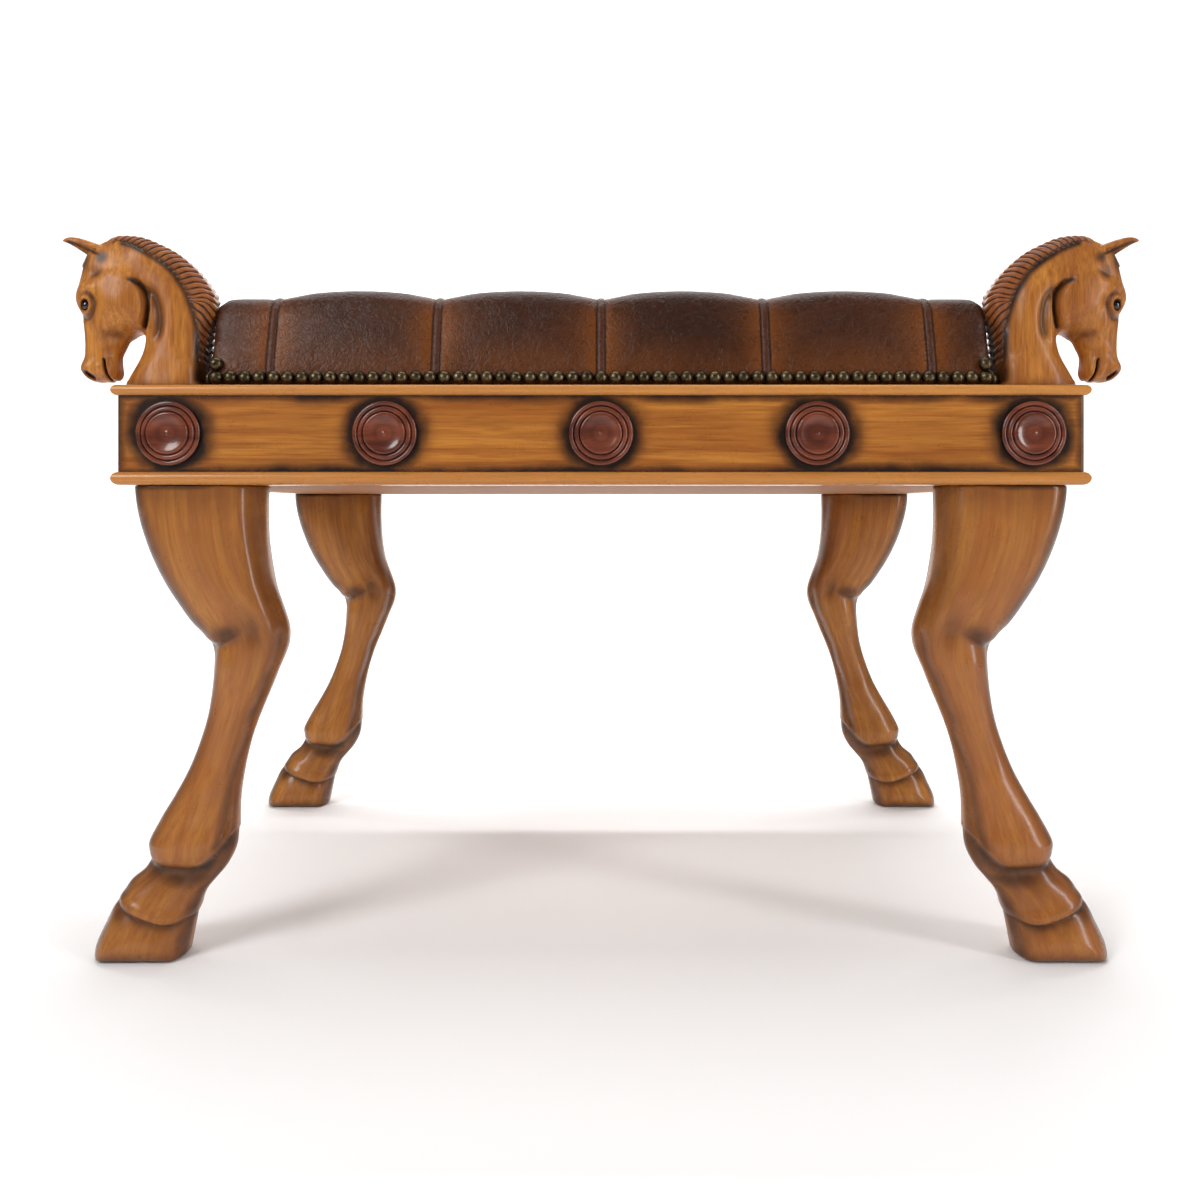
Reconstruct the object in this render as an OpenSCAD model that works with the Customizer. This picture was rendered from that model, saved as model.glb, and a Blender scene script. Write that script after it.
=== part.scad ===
// Upholstered bench carried on four carved horse legs, with a carved horse head
// standing on each corner of its frame. Millimetres, +Z up. The origin is on the
// floor, under the middle of the bench. X runs along the bench, Y across it.

/* [Frame] */
// Length of the frame over its mouldings
frame_l = 731; // [715:1:750]
// Depth of the frame over its mouldings
frame_d = 515; // [505:1:535]
// Height of the bottom moulding's underside, which is the legs' visible height
leg_h = 362; // [340:1:384]
// Thickness of the bottom moulding
bottom_t = 10; // [8:0.5:12]
// Height of the apron boards
apron_h = 57; // [54:1:70]
// Thickness of the apron boards
apron_t = 18; // [15:1:20]
// Thickness of the top moulding
top_t = 8; // [7:0.5:10]
// How far the mouldings stand out from the apron
overhang = 3.5; // [3:0.5:6]
// Width of the flat top moulding boards
top_w = 68; // [66:1:70]
// Width of the bottom moulding strips
bottom_w = 26; // [22:1:30]
// Rounding of the apron's upright corners
apron_corner = 3; // [1:0.5:5]
// Thickness of each cross rail inside the frame
rail_t = 20; // [16:1:24]
// Distance between neighbouring cross rails
rail_gap = 150; // [120:1:170]

/* [Roundels] */
// Diameter of the turned roundels
roundel_d = 49; // [44:0.5:52]
// Distance between neighbouring roundels on the long sides
roundel_gap = 161.5; // [150:0.5:164]
// Distance between neighbouring roundels on the short sides
end_roundel_gap = 161.5; // [120:0.5:170]

/* [Seat] */
// Length of the seat at its foot
seat_l = 590; // [580:1:592]
// Depth of the seat at its foot
seat_d = 486; // [470:1:488]
// Height of the seat at the welts, above the frame
seat_h = 68; // [60:1:76]
// How much higher the puffed panels stand than the welts
puff = 8; // [3:0.5:10]
// How far the front face leans back up to the shoulder
lean = 14; // [8:1:18]
// Radius of the seat's shoulders
shoulder_r = 13; // [8:1:16]
// Thickness of the leather cover
leather_t = 2; // [1.5:0.5:3]
// Thickness of the plywood seat board
seat_board_t = 12; // [9:1:15]
// Distance between neighbouring welts
welt_gap = 125.5; // [118:0.5:126]
// Width of a welt
welt_w = 6.5; // [5:0.5:8]
// How far a welt stands proud
welt_t = 1.5; // [1:0.5:2.5]

/* [Nails] */
// Diameter of an upholstery nail's head
nail_d = 10.5; // [9:0.1:10.6]
// Height of a nail's head
nail_h = 4; // [3:0.5:5]
// Number of nails along the front
nails_long = 55; // [45:2:55]
// Number of nails along each end
nails_short = 45; // [37:2:45]

/* [Legs and heads] */
// Distance from the frame's front edge to the middle of the legs and heads
carving_inset = 34; // [33:0.5:35]
// Diameter of the round tenon on top of a leg
tenon_d = 32; // [28:1:34]
// Length of the tenon
tenon_l = 45; // [35:1:48]
// Radius of a glass eye
eye_r = 4.4; // [4:0.1:6]
// Number of sides in each carved section
carve_sides = 24; // [18:2:26]
// Rings between two neighbouring carved stations
carve_steps = 2; // [1:1:2]

/* [Hidden] */
$fn = 48;
wood = [0.74, 0.49, 0.25];
plain_wood = [0.80, 0.66, 0.46];
mahogany = [0.42, 0.20, 0.12];
leather = [0.34, 0.20, 0.15];
bronze = [0.33, 0.29, 0.20];
steel = [0.66, 0.67, 0.69];

// Heights of the frame's layers
apron_z = leg_h + bottom_t;
moulding_z = apron_z + apron_h;
deck_z = moulding_z + top_t;

// Half sizes of the frame, outside and inside the aprons
half_l = frame_l / 2;
half_d = frame_d / 2;
apron_x = half_l - overhang;
apron_y = half_d - overhang;
inner_x = apron_x - apron_t;
inner_y = apron_y - apron_t;

// Plane that the carvings' X is measured in from, and the middle plane of the carvings
carving_x = half_l + 2;
carving_y = half_d - carving_inset;

// Corner blocks, and what is drilled into them: X in from the carvings' plane, Y in from
// the frame's front
block_l = 80;
block_w = 60;
tenon_in = [carving_x - 309, 43.5];
bolt_d = 8;
bolt_head = [13, 5];
washer = [20, 1.6];
bolt_l = 75;
bolt_recess = 8;
dowel_in = [carving_x - 325, 29.5];
dowel_d = 10;
dowel_l = 40;
head_screw_in = [carving_x - 338, 29.5];
head_screw_d = 6;
head_screw_cap = [10, 4];
head_screw_z = moulding_z - 24;
head_screw_l = 62;

// Small parts
spline = [4, 14, 44];
roundel_dowel = [8, 9];
wood_screw = [4, 8, 25];
seat_fix = [4.5, 9, 20];
deck_screw_y = 150;
panel_screw_x = [-300, -rail_gap, 0, rail_gap, 300];
seat_screw_x = [-225, -75, 75, 225];
seat_screw_y = 140;

// Where a welt starts above the frame
welt_foot = 12;

// Middle of the nails, and how far the first nail of an end row stands in from the corner
nail_z = deck_z + nail_d / 2 + 0.3;
nail_edge = 6;

// Stations up a leg: height as a share of leg_h, then how far the leg's outer and
// inner contours stand from the frame's end, the half thickness and the squareness
// of the section. Positive is towards the middle of the bench.
LEG = [
    [0.000, -21, 48.4, 28, 2.4],
    [0.033, -20, 50.9, 27.2, 2.4],
    [0.077, -13.1, 54.8, 25.4, 2.3],
    [0.108, -8.1, 57.8, 24, 2.3],
    [0.138, -0.5, 62.9, 22.8, 2.2],
    [0.163, 5.2, 70.4, 21.4, 2.2],
    [0.188, 15.7, 78.1, 20.6, 2.2],
    [0.221, 21.5, 84.6, 22.2, 2.2],
    [0.251, 21.2, 87, 22.6, 2.2],
    [0.296, 28.8, 87.4, 21.2, 2.2],
    [0.343, 38.9, 88.5, 19.4, 2.2],
    [0.392, 48.8, 91.5, 18, 2.2],
    [0.445, 56.7, 96.1, 17.4, 2.2],
    [0.503, 63.4, 102.7, 18.2, 2.2],
    [0.555, 66.9, 110.6, 19.4, 2.3],
    [0.605, 68.4, 117.8, 20.8, 2.3],
    [0.649, 68.1, 124.5, 21.8, 2.4],
    [0.680, 62.9, 127, 22.8, 2.5],
    [0.707, 53.4, 126.4, 24.2, 2.6],
    [0.743, 44.1, 122, 25.6, 2.8],
    [0.798, 31.8, 114.5, 27, 3.2],
    [0.865, 20.9, 111, 28, 3.8],
    [0.934, 13.3, 110.3, 28.5, 4.6],
    [1.000, 10.1, 110.9, 28.5, 5]
];

// Stations along a neck and head, from the deck up, over the crest and down to the
// muzzle: the throat side point, the crest or face side point, both as distance in
// from the frame's end and height above the deck, then half thickness and squareness.
HEAD = [
    [1.4, 0, 64, 0, 25, 3.2],
    [4, 9, 63.5, 9.5, 25, 3],
    [9.5, 20, 63, 22.4, 24, 2.8],
    [13.5, 32, 64, 37.2, 23, 2.7],
    [15.2, 38.5, 68, 52.1, 22.5, 2.7],
    [14.6, 42.5, 71.2, 65, 22.2, 2.7],
    [12.6, 44.2, 66, 78.9, 22, 2.7],
    [11, 45.2, 53.1, 95.3, 22, 2.7],
    [10, 45.8, 35.2, 108.7, 22, 2.7],
    [9, 46, 14.4, 116.4, 22, 2.7],
    [8, 46, -5.4, 117.9, 22.2, 2.7],
    [7, 45.6, -19.3, 112.6, 22.4, 2.7],
    [6.2, 44.9, -31.2, 102.7, 22.6, 2.7],
    [5.4, 43.9, -35.7, 87.8, 22.8, 2.6],
    [4, 42.4, -39, 72, 22.4, 2.6],
    [2, 39.6, -37.2, 62, 20.8, 2.5],
    [-0.9, 35, -33.7, 52.1, 18.6, 2.5],
    [-3.4, 29.8, -32.2, 41.7, 16.6, 2.5],
    [-4.6, 24, -31.9, 32.3, 15, 2.5],
    [-5, 18.4, -32.5, 23.9, 13.6, 2.4],
    [-4.6, 13.2, -34.4, 16.9, 12.8, 2.4],
    [-6, 9.2, -32.7, 11, 11.2, 2.3],
    [-9.9, 6.4, -29.2, 7, 8.6, 2.2],
    [-15, 5.4, -23.3, 5.1, 4.2, 2.1]
];

// Stations along an ear, from its root inside the head to the tip
EAR = [
    [-13.5, 93.0, -9.0, 106.5, 5.0, 2.2],
    [-19.0, 97.2, -15.5, 108.6, 5.4, 2.2],
    [-26.2, 101.8, -23.6, 110.6, 5.2, 2.2],
    [-33.6, 106.4, -32.0, 112.6, 4.0, 2.2],
    [-39.0, 109.8, -38.4, 113.6, 2.6, 2.2],
    [-42.4, 111.0, -42.2, 112.4, 1.0, 2.0]
];
ear_spread = 12.5;
eye_at = [-23.1, 15.6, 61.6];

// A point on a smooth curve through the stations, and the stations with n steps between them
function blend(a, b, c, d, t) =
    0.5 * (2 * b + (c - a) * t + (2 * a - 5 * b + 4 * c - d) * t * t
        + (3 * b - a - 3 * c + d) * t * t * t);
function smooth(s, n) = [
    for (i = [0:len(s) - 2], k = [0:n - 1])
        blend(s[max(i - 1, 0)], s[i], s[i + 1], s[min(i + 2, len(s) - 1)], k / n),
    s[len(s) - 1]
];

// One rounded section between the points (s0, s1) and (s2, s3) of the middle plane,
// with half thickness s4 across it and squareness s5
function signed_power(v, p) = sign(v) * pow(abs(v), p);
function section(s, sides) = [
    for (i = [0:sides - 1])
        let (a = 360 * (i + 0.5) / sides,
             u = signed_power(cos(a), 2 / s[5]),
             v = signed_power(sin(a), 2 / s[5]))
        [(s[0] + s[2]) / 2 + u * (s[2] - s[0]) / 2,
         v * s[4],
         (s[1] + s[3]) / 2 + u * (s[3] - s[1]) / 2]
];
function leg_station(s) = [s[1], s[0] * leg_h, s[2], s[0] * leg_h, s[3], s[4]];

// A closed solid through a list of sections
module carving(stations, sides, steps) {
    rows = smooth(stations, steps);
    n = len(rows);
    spots = [for (r = rows) each section(r, sides)];
    walls = [
        for (i = [0:n - 2], j = [0:sides - 1])
            let (a = i * sides + j, b = i * sides + (j + 1) % sides)
            each [[a, b + sides, b], [a, a + sides, b + sides]]
    ];
    start = [for (j = [0:sides - 1]) j];
    finish = [for (j = [0:sides - 1]) n * sides - 1 - j];
    polyhedron(spots, concat(walls, [start, finish]), convexity = 6);
}

// Puts a corner's pieces, drawn for the front left with X measured in from the
// carvings' plane, at the corner given by two signs
module at_corner(sx, sy) {
    mirror([sx > 0 ? 1 : 0, 0, 0]) mirror([0, sy > 0 ? 1 : 0, 0]) translate([-carving_x, 0, 0]) children();
}
module each_corner() {
    for (sx = [-1, 1], sy = [-1, 1]) at_corner(sx, sy) children();
}

// A quarter of the frame, cut along the mitres: side 0 is the front, then the left,
// the back and the right
module mitre_wedge(side) {
    reach = 100;
    along = side % 2 == 0 ? half_l : half_d;
    across = side % 2 == 0 ? half_d : half_l;
    rotate([0, 0, -90 * side]) linear_extrude(deck_z + 10)
        polygon([
            [-along + reach, -across + reach],
            [-along - 20, -across - 20],
            [along + 20, -across - 20],
            [along - reach, -across + reach]
        ]);
}

// A board edge with a half round outer edge, as a section with the edge at x = 0
module edge_section(w, t) {
    union() {
        translate([t / 2, t / 2]) circle(d = t);
        translate([t / 2, 0]) square([w - t / 2, t]);
    }
}
module moulding(side, w, t, z) {
    along = side % 2 == 0 ? half_l : half_d;
    across = side % 2 == 0 ? half_d : half_l;
    intersection() {
        rotate([0, 0, -90 * side]) translate([-along - 1, -across, z])
            rotate([90, 0, 90]) linear_extrude(2 * along + 2) edge_section(w, t);
        mitre_wedge(side);
    }
}

// One side of the rounded upright ring of apron boards
module apron(side) {
    color(wood) difference() {
        intersection() {
            translate([0, 0, apron_z]) linear_extrude(apron_h) difference() {
                rounded_rectangle(2 * apron_x, 2 * apron_y, apron_corner);
                square([2 * inner_x, 2 * inner_y], center = true);
            }
            mitre_wedge(side);
        }
        mitre_spline_shapes();
        roundel_places(side) cylinder(d = roundel_dowel[0], h = 2 * roundel_dowel[1], center = true);
    }
}
module rounded_rectangle(l, w, r) {
    square([l - 2 * r, w], center = true);
    square([l, w - 2 * r], center = true);
    for (x = [-1, 1], y = [-1, 1]) translate([x * (l / 2 - r), y * (w / 2 - r)]) circle(r);
}
module mitre_spline_shapes() {
    each_corner()
        translate([carving_x - (inner_x + apron_x) / 2, -(inner_y + apron_y) / 2, apron_z + apron_h / 2])
            rotate([0, 0, -45]) cube([spline[1], spline[0], spline[2]], center = true);
}

module mitre_splines() {
    color(plain_wood) mitre_spline_shapes();
}

// The roundels' places on one side of the frame, with +Z pointing out of the apron
module roundel_places(side) {
    long = side % 2 == 0;
    count = long ? 2 : 1;
    gap = long ? roundel_gap : end_roundel_gap;
    rotate([0, 0, -90 * side])
        for (i = [-count:count])
            translate([i * gap, -(long ? apron_y : apron_x), apron_z + apron_h / 2])
                rotate([90, 0, 0]) children();
}

// A turned roundel: two beads round a raised disc with a dished middle
function arc(x, y, r, from, to, n) = [
    for (i = [0:n]) let (a = from + (to - from) * i / n) [x + r * cos(a), y + r * sin(a)]
];
module roundel() {
    r = roundel_d / 2;
    rotate_extrude() polygon(concat(
        [[0, 0]],
        arc(r - 2, 1.2, 2, -36, 160, 8),
        arc(r - 6.3, 2.0, 2, 10, 170, 8),
        arc(r - 10.4, 3.6, 2, 10, 100, 5),
        [[r - 13, 5.4], [r - 17, 4.2], [r - 21, 3.7], [0.8, 3.7], [0, 4.2]]
    ));
}

module screw(d, head_d, l) {
    cylinder(d1 = head_d, d2 = d, h = (head_d - d) / 2);
    cylinder(d = d, h = l);
}

// Corner features, drawn for the front left corner
module tenon_place() {
    translate([tenon_in[0], -half_d + tenon_in[1], 0]) children();
}
module dowel_place() {
    translate([dowel_in[0], -half_d + dowel_in[1], 0]) children();
}
module head_screw_place() {
    translate([head_screw_in[0], -half_d + head_screw_in[1], 0]) children();
}
module leg_bolt_shape() {
    tenon_place() translate([0, 0, moulding_z - bolt_recess + washer[1]]) {
        cylinder(d = bolt_head[0], h = bolt_head[1], $fn = 6);
        translate([0, 0, -bolt_l]) cylinder(d = bolt_d, h = bolt_l);
    }
}
module leg_washer_shape() {
    tenon_place() translate([0, 0, moulding_z - bolt_recess]) difference() {
        cylinder(d = washer[0], h = washer[1]);
        translate([0, 0, -1]) cylinder(d = bolt_d, h = 4);
    }
}
module head_dowel_shape() {
    dowel_place() translate([0, 0, deck_z - dowel_l / 2]) cylinder(d = dowel_d, h = dowel_l);
}
module head_screw_shape() {
    head_screw_place() translate([0, 0, head_screw_z]) {
        cylinder(d = head_screw_d, h = head_screw_l);
        translate([0, 0, -head_screw_cap[1]]) cylinder(d = head_screw_cap[0], h = head_screw_cap[1]);
    }
}
module leg_bolts() {
    color(steel) each_corner() leg_bolt_shape();
}
module leg_washers() {
    color(steel) each_corner() leg_washer_shape();
}
module head_dowels() {
    color(plain_wood) each_corner() head_dowel_shape();
}
module head_screws() {
    color(steel) each_corner() head_screw_shape();
}

module corner_block(sx, sy) {
    color(plain_wood) difference() {
        at_corner(sx, sy) difference() {
            translate([carving_x - inner_x, -inner_y, apron_z]) cube([block_l, block_w, apron_h]);
            tenon_place() {
                translate([0, 0, apron_z - 1]) cylinder(d = tenon_d, h = tenon_l - bottom_t + 1);
                translate([0, 0, apron_z]) cylinder(d = bolt_d, h = apron_h);
                translate([0, 0, moulding_z - bolt_recess]) cylinder(d = washer[0], h = 20);
            }
            head_dowel_shape();
            head_screw_place() {
                translate([0, 0, apron_z - 1])
                    cylinder(d = head_screw_cap[0], h = head_screw_z - apron_z + 1);
                translate([0, 0, apron_z]) cylinder(d = head_screw_d, h = apron_h + 1);
            }
        }
        panel_screw_places() screw(wood_screw[0], wood_screw[1], wood_screw[2]);
    }
}

module leg(sx, sy) {
    color(wood) at_corner(sx, sy) difference() {
        union() {
            translate([0, -carving_y, 0])
                carving([for (s = LEG) leg_station(s)], carve_sides, carve_steps);
            tenon_place() translate([0, 0, leg_h - 8]) cylinder(d = tenon_d, h = tenon_l + 8);
        }
        tenon_place() translate([0, 0, moulding_z - bolt_recess + washer[1] - bolt_l])
            cylinder(d = bolt_d, h = bolt_l);
    }
}

module horse_head(sx, sy) {
    color(wood) at_corner(sx, sy) difference() {
        translate([0, -carving_y, deck_z]) difference() {
            union() {
                carving(HEAD, carve_sides, carve_steps);
                for (side = [-1, 1]) translate([0, side * ear_spread, 0]) carving(EAR, 12, carve_steps);
            }
            for (side = [-1, 1]) translate([eye_at[0], side * eye_at[1], eye_at[2]]) sphere(eye_r);
        }
        head_dowel_shape();
        head_screw_shape();
    }
}

// The seat's section across its length, grown outwards by g, and its outline from
// the front with a puff between each pair of welts
module seat_side(g) {
    w = seat_d / 2 + g;
    top = seat_h + puff + g;
    r = shoulder_r + g;
    right = concat([[w, 0], [w, 14]], arc(w - lean - r, top - r, r, 8, 90, 7));
    left = [for (i = [len(right) - 1:-1:0]) [-right[i][0], right[i][1]]];
    polygon(concat(right, left));
}
function panel_top(x) =
    let (k = (abs(x) % welt_gap) / welt_gap,
         flat = welt_w / welt_gap,
         s = min(max((k - flat) / (1 - 2 * flat), 0), 1))
    abs(x) > 2 * welt_gap ? 0 : puff * pow(sin(180 * s), 0.7);
module seat_front(g, proud) {
    w = seat_l / 2 + g;
    steps = 64;
    span = 2 * welt_gap;
    r = shoulder_r + g;
    top = [for (i = [-steps:steps]) let (x = span * i / steps)
        [x, seat_h + g + proud * panel_top(x)]];
    right = concat([[-w, 0]], arc(-w + r, seat_h + g - r, r, 180, 90, 7));
    left = [for (i = [len(right) - 1:-1:0]) [-right[i][0], right[i][1]]];
    polygon(concat(right, top, left));
}
module seat_solid(g, proud) {
    intersection() {
        translate([-seat_l, 0, deck_z]) rotate([90, 0, 90]) linear_extrude(2 * seat_l) seat_side(g);
        translate([0, seat_d, deck_z]) rotate([90, 0, 0]) linear_extrude(2 * seat_d) seat_front(g, proud);
    }
}

// One nail's head, flat on the XY plane, and a row of them along X
module nail() {
    r = (nail_d * nail_d / 4 + nail_h * nail_h) / (2 * nail_h);
    intersection() {
        translate([0, 0, nail_h - r]) sphere(r);
        cylinder(d = nail_d + 1, h = nail_h + 1);
    }
}
module nail_row(count, length, out) {
    pitch = length / (count - 1);
    for (i = [0:count - 1])
        translate([-length / 2 + i * pitch, -out, nail_z]) rotate([90, 0, 0]) nail();
}

module seat_screw_places() {
    for (x = seat_screw_x, y = [-seat_screw_y, seat_screw_y])
        translate([x, y, moulding_z]) children();
}
module deck_screw_places() {
    for (i = [-1:1], y = [-deck_screw_y, 0, deck_screw_y])
        translate([i * rail_gap, y, deck_z]) rotate([180, 0, 0]) children();
}
module panel_screw_places() {
    for (x = panel_screw_x, y = [-1, 1])
        translate([x, y * (abs(x) > rail_gap ? inner_y - block_w + 8 : inner_y - 25), leg_h])
            children();
}
module deck_board() {
    color(plain_wood) difference() {
        translate([-half_l + top_w, -half_d + top_w, moulding_z])
            cube([frame_l - 2 * top_w, frame_d - 2 * top_w, top_t]);
        deck_screw_places() screw(wood_screw[0], wood_screw[1], wood_screw[2]);
        seat_screw_places() cylinder(d = seat_fix[0], h = 3 * top_t, center = true);
    }
}
module deck_screws() {
    color(steel) deck_screw_places() screw(wood_screw[0], wood_screw[1], wood_screw[2]);
}
module bottom_panel() {
    color(wood) difference() {
        translate([-half_l + bottom_w, -half_d + bottom_w, leg_h])
            cube([frame_l - 2 * bottom_w, frame_d - 2 * bottom_w, bottom_t]);
        each_corner() tenon_place() translate([0, 0, leg_h - 1]) cylinder(d = tenon_d, h = bottom_t + 2);
        panel_screw_places() screw(wood_screw[0], wood_screw[1], wood_screw[2]);
    }
}
module panel_screws() {
    color(steel) panel_screw_places() screw(wood_screw[0], wood_screw[1], wood_screw[2]);
}
module cross_rail(place) {
    color(plain_wood) difference() {
        translate([place * rail_gap - rail_t / 2, -inner_y, apron_z]) cube([rail_t, 2 * inner_y, apron_h]);
        deck_screw_places() screw(wood_screw[0], wood_screw[1], wood_screw[2]);
        panel_screw_places() screw(wood_screw[0], wood_screw[1], wood_screw[2]);
    }
}

module glass_eyes() {
    color("black") each_corner() translate([0, -carving_y, deck_z])
        for (side = [-1, 1]) translate([eye_at[0], side * eye_at[1], eye_at[2]]) sphere(eye_r);
}
module roundel_dowels() {
    color(plain_wood) for (side = [0:3]) roundel_places(side)
        translate([0, 0, -roundel_dowel[1]]) cylinder(d = roundel_dowel[0], h = roundel_dowel[1]);
}

module seat_board() {
    color(plain_wood) difference() {
        translate([-seat_l / 2 + leather_t, -seat_d / 2 + leather_t, deck_z])
            cube([seat_l - 2 * leather_t, seat_d - 2 * leather_t, seat_board_t]);
        seat_screw_places() screw_shank();
    }
}
module screw_shank() {
    cylinder(d = seat_fix[0], h = seat_fix[2]);
}
module seat_screws() {
    color(steel) seat_screw_places() {
        screw_shank();
        translate([0, 0, -3]) cylinder(d = seat_fix[1], h = 3);
    }
}
module seat_foam() {
    color("khaki") difference() {
        seat_solid(-leather_t, 1);
        translate([-seat_l, -seat_d, deck_z - 1]) cube([2 * seat_l, 2 * seat_d, seat_board_t + 1]);
    }
}
module seat_cover() {
    color(leather) difference() {
        seat_solid(0, 1);
        seat_solid(-leather_t, 1);
        translate([-seat_l / 2 + leather_t, -seat_d / 2 + leather_t, deck_z - 1])
            cube([seat_l - 2 * leather_t, seat_d - 2 * leather_t, seat_board_t]);
    }
}
module seat_welts() {
    color(leather) for (i = [-2:2]) difference() {
        intersection() {
            seat_solid(welt_t, 0);
            translate([i * welt_gap - welt_w / 2, -seat_d, deck_z + welt_foot])
                cube([welt_w, 2 * seat_d, 2 * seat_h]);
        }
        seat_solid(0, 0);
    }
}

module top_moulding(side) {
    color(wood) difference() {
        moulding(side, top_w, top_t, moulding_z);
        each_corner() {
            head_dowel_shape();
            head_screw_shape();
        }
    }
}
module bottom_moulding(side) {
    color(wood) moulding(side, bottom_w, bottom_t, leg_h);
}
module roundels(side) {
    color(mahogany) roundel_places(side) roundel();
}
// A long row has one more nail above each of its ends
module long_nails(side) {
    length = seat_l - nail_d;
    color(bronze) rotate([0, 0, -90 * side]) {
        nail_row(nails_long, length, seat_d / 2);
        for (x = [-length / 2, length / 2])
            translate([x, -seat_d / 2, nail_z + nail_d + 0.1]) rotate([90, 0, 0]) nail();
    }
}
module short_nails(side) {
    color(bronze) rotate([0, 0, -90 * side]) nail_row(nails_short, seat_d - 2 * nail_edge, seat_l / 2);
}

apron(0);  // apron_front
apron(1);  // apron_left
apron(2);  // apron_back
apron(3);  // apron_right
mitre_splines();
top_moulding(0);  // top_moulding_front
top_moulding(1);  // top_moulding_left
top_moulding(2);  // top_moulding_back
top_moulding(3);  // top_moulding_right
bottom_moulding(0);  // bottom_moulding_front
bottom_moulding(1);  // bottom_moulding_left
bottom_moulding(2);  // bottom_moulding_back
bottom_moulding(3);  // bottom_moulding_right
deck_board();
deck_screws();
bottom_panel();
panel_screws();
cross_rail(-1);  // cross_rail_left
cross_rail(0);  // cross_rail_middle
cross_rail(1);  // cross_rail_right
corner_block(-1, -1);  // corner_block_front_left
corner_block(1, -1);  // corner_block_front_right
corner_block(-1, 1);  // corner_block_back_left
corner_block(1, 1);  // corner_block_back_right
leg(-1, -1);  // leg_front_left
leg(1, -1);  // leg_front_right
leg(-1, 1);  // leg_back_left
leg(1, 1);  // leg_back_right
leg_bolts();
leg_washers();
horse_head(-1, -1);  // horse_head_front_left
horse_head(1, -1);  // horse_head_front_right
horse_head(-1, 1);  // horse_head_back_left
horse_head(1, 1);  // horse_head_back_right
glass_eyes();
head_dowels();
head_screws();
roundels(0);  // roundels_front
roundels(1);  // roundels_left
roundels(2);  // roundels_back
roundels(3);  // roundels_right
roundel_dowels();
seat_board();
seat_screws();
seat_foam();
seat_cover();
seat_welts();
long_nails(0);  // nails_front
short_nails(1);  // nails_left
long_nails(2);  // nails_back
short_nails(3);  // nails_right
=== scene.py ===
"""Carved horse-head bench: looks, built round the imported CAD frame.
Lengths in the sculpting code are millimetres, and meshes handed to Blender are in metres."""

import math

import bpy
import numpy as np
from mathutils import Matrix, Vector
from mathutils.bvhtree import BVHTree


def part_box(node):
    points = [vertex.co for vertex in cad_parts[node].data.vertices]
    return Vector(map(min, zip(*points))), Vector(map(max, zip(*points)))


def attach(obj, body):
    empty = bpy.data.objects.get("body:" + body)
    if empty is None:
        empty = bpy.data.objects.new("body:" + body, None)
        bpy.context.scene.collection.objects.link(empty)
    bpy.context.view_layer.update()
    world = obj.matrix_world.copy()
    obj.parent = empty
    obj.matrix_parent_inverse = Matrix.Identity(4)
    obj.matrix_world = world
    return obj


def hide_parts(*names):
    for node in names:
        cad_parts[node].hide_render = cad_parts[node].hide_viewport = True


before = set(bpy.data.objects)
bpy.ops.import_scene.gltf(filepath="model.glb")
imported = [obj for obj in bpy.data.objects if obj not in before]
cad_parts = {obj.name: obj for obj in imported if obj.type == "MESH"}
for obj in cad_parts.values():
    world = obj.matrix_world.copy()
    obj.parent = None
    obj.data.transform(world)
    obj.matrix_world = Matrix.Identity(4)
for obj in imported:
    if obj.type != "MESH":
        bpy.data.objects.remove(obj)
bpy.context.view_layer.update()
MM = 0.001
SIDES = ("front", "left", "back", "right")
LONG_SIDES = ("front", "back")
OUTWARD = {"front": (0, -1), "back": (0, 1), "left": (-1, 0), "right": (1, 0)}
CORNERS = [(a, b) for a in ("front", "back") for b in ("left", "right")]


def box_mm(node):
    """The lowest and highest corner of a CAD node, in millimetres."""
    low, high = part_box(node)
    return np.array(low) / MM, np.array(high) / MM


# Places taken from the frame, in millimetres
DECK_Z = box_mm("deck_board")[1][2]
LEG_TOP = box_mm("bottom_panel")[0][2]
APRON_LOW, APRON_HIGH = box_mm("apron_front")
APRON_X, APRON_Y = -box_mm("apron_left")[0][0], -APRON_LOW[1]
# A carving's own x starts 2 mm outside the mouldings' end, and its y at the legs' middle plane
CARVING_X = -box_mm("bottom_moulding_left")[0][0] + 2.0
CARVING_Y = -sum(b[1] for b in box_mm("leg_front_left")) / 2
SEAT_X, SEAT_Y, _ = box_mm("seat_cover")[1]
ROUNDEL_LOW, ROUNDEL_HIGH = box_mm("roundels_front")
ROUNDEL_R = (ROUNDEL_HIGH[2] - ROUNDEL_LOW[2]) / 2
ROUNDEL_Z = (ROUNDEL_HIGH[2] + ROUNDEL_LOW[2]) / 2
ROUNDEL_GAP = (ROUNDEL_HIGH[0] - ROUNDEL_R) / 2
WELT_HIGH = box_mm("seat_welts")[1]
WELT_W = 6.5
WELT_GAP = (WELT_HIGH[0] - WELT_W / 2) / 2


# ---------------------------------------------------------------- mesh helpers


def new_object(name, vertices_mm, faces):
    """A mesh object from millimetre vertices, and quads (an array) or mixed faces (a list),
    which rides on the bench's one body."""
    mesh = bpy.data.meshes.new(name)
    vertices = np.asarray(vertices_mm, float) * MM
    if isinstance(faces, np.ndarray):
        n, k = faces.shape
        mesh.vertices.add(len(vertices))
        mesh.vertices.foreach_set("co", vertices.ravel())
        mesh.loops.add(n * k)
        mesh.loops.foreach_set("vertex_index", faces.ravel())
        mesh.polygons.add(n)
        mesh.polygons.foreach_set("loop_start", np.arange(0, n * k, k))
        mesh.update(calc_edges=True)
    else:
        mesh.from_pydata(vertices.tolist(), [], [list(f) for f in faces])
        mesh.update()
    mesh.polygons.foreach_set("use_smooth", [True] * len(mesh.polygons))
    piece = bpy.data.objects.new(name, mesh)
    bpy.context.scene.collection.objects.link(piece)
    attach(piece, "root")
    return piece


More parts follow.
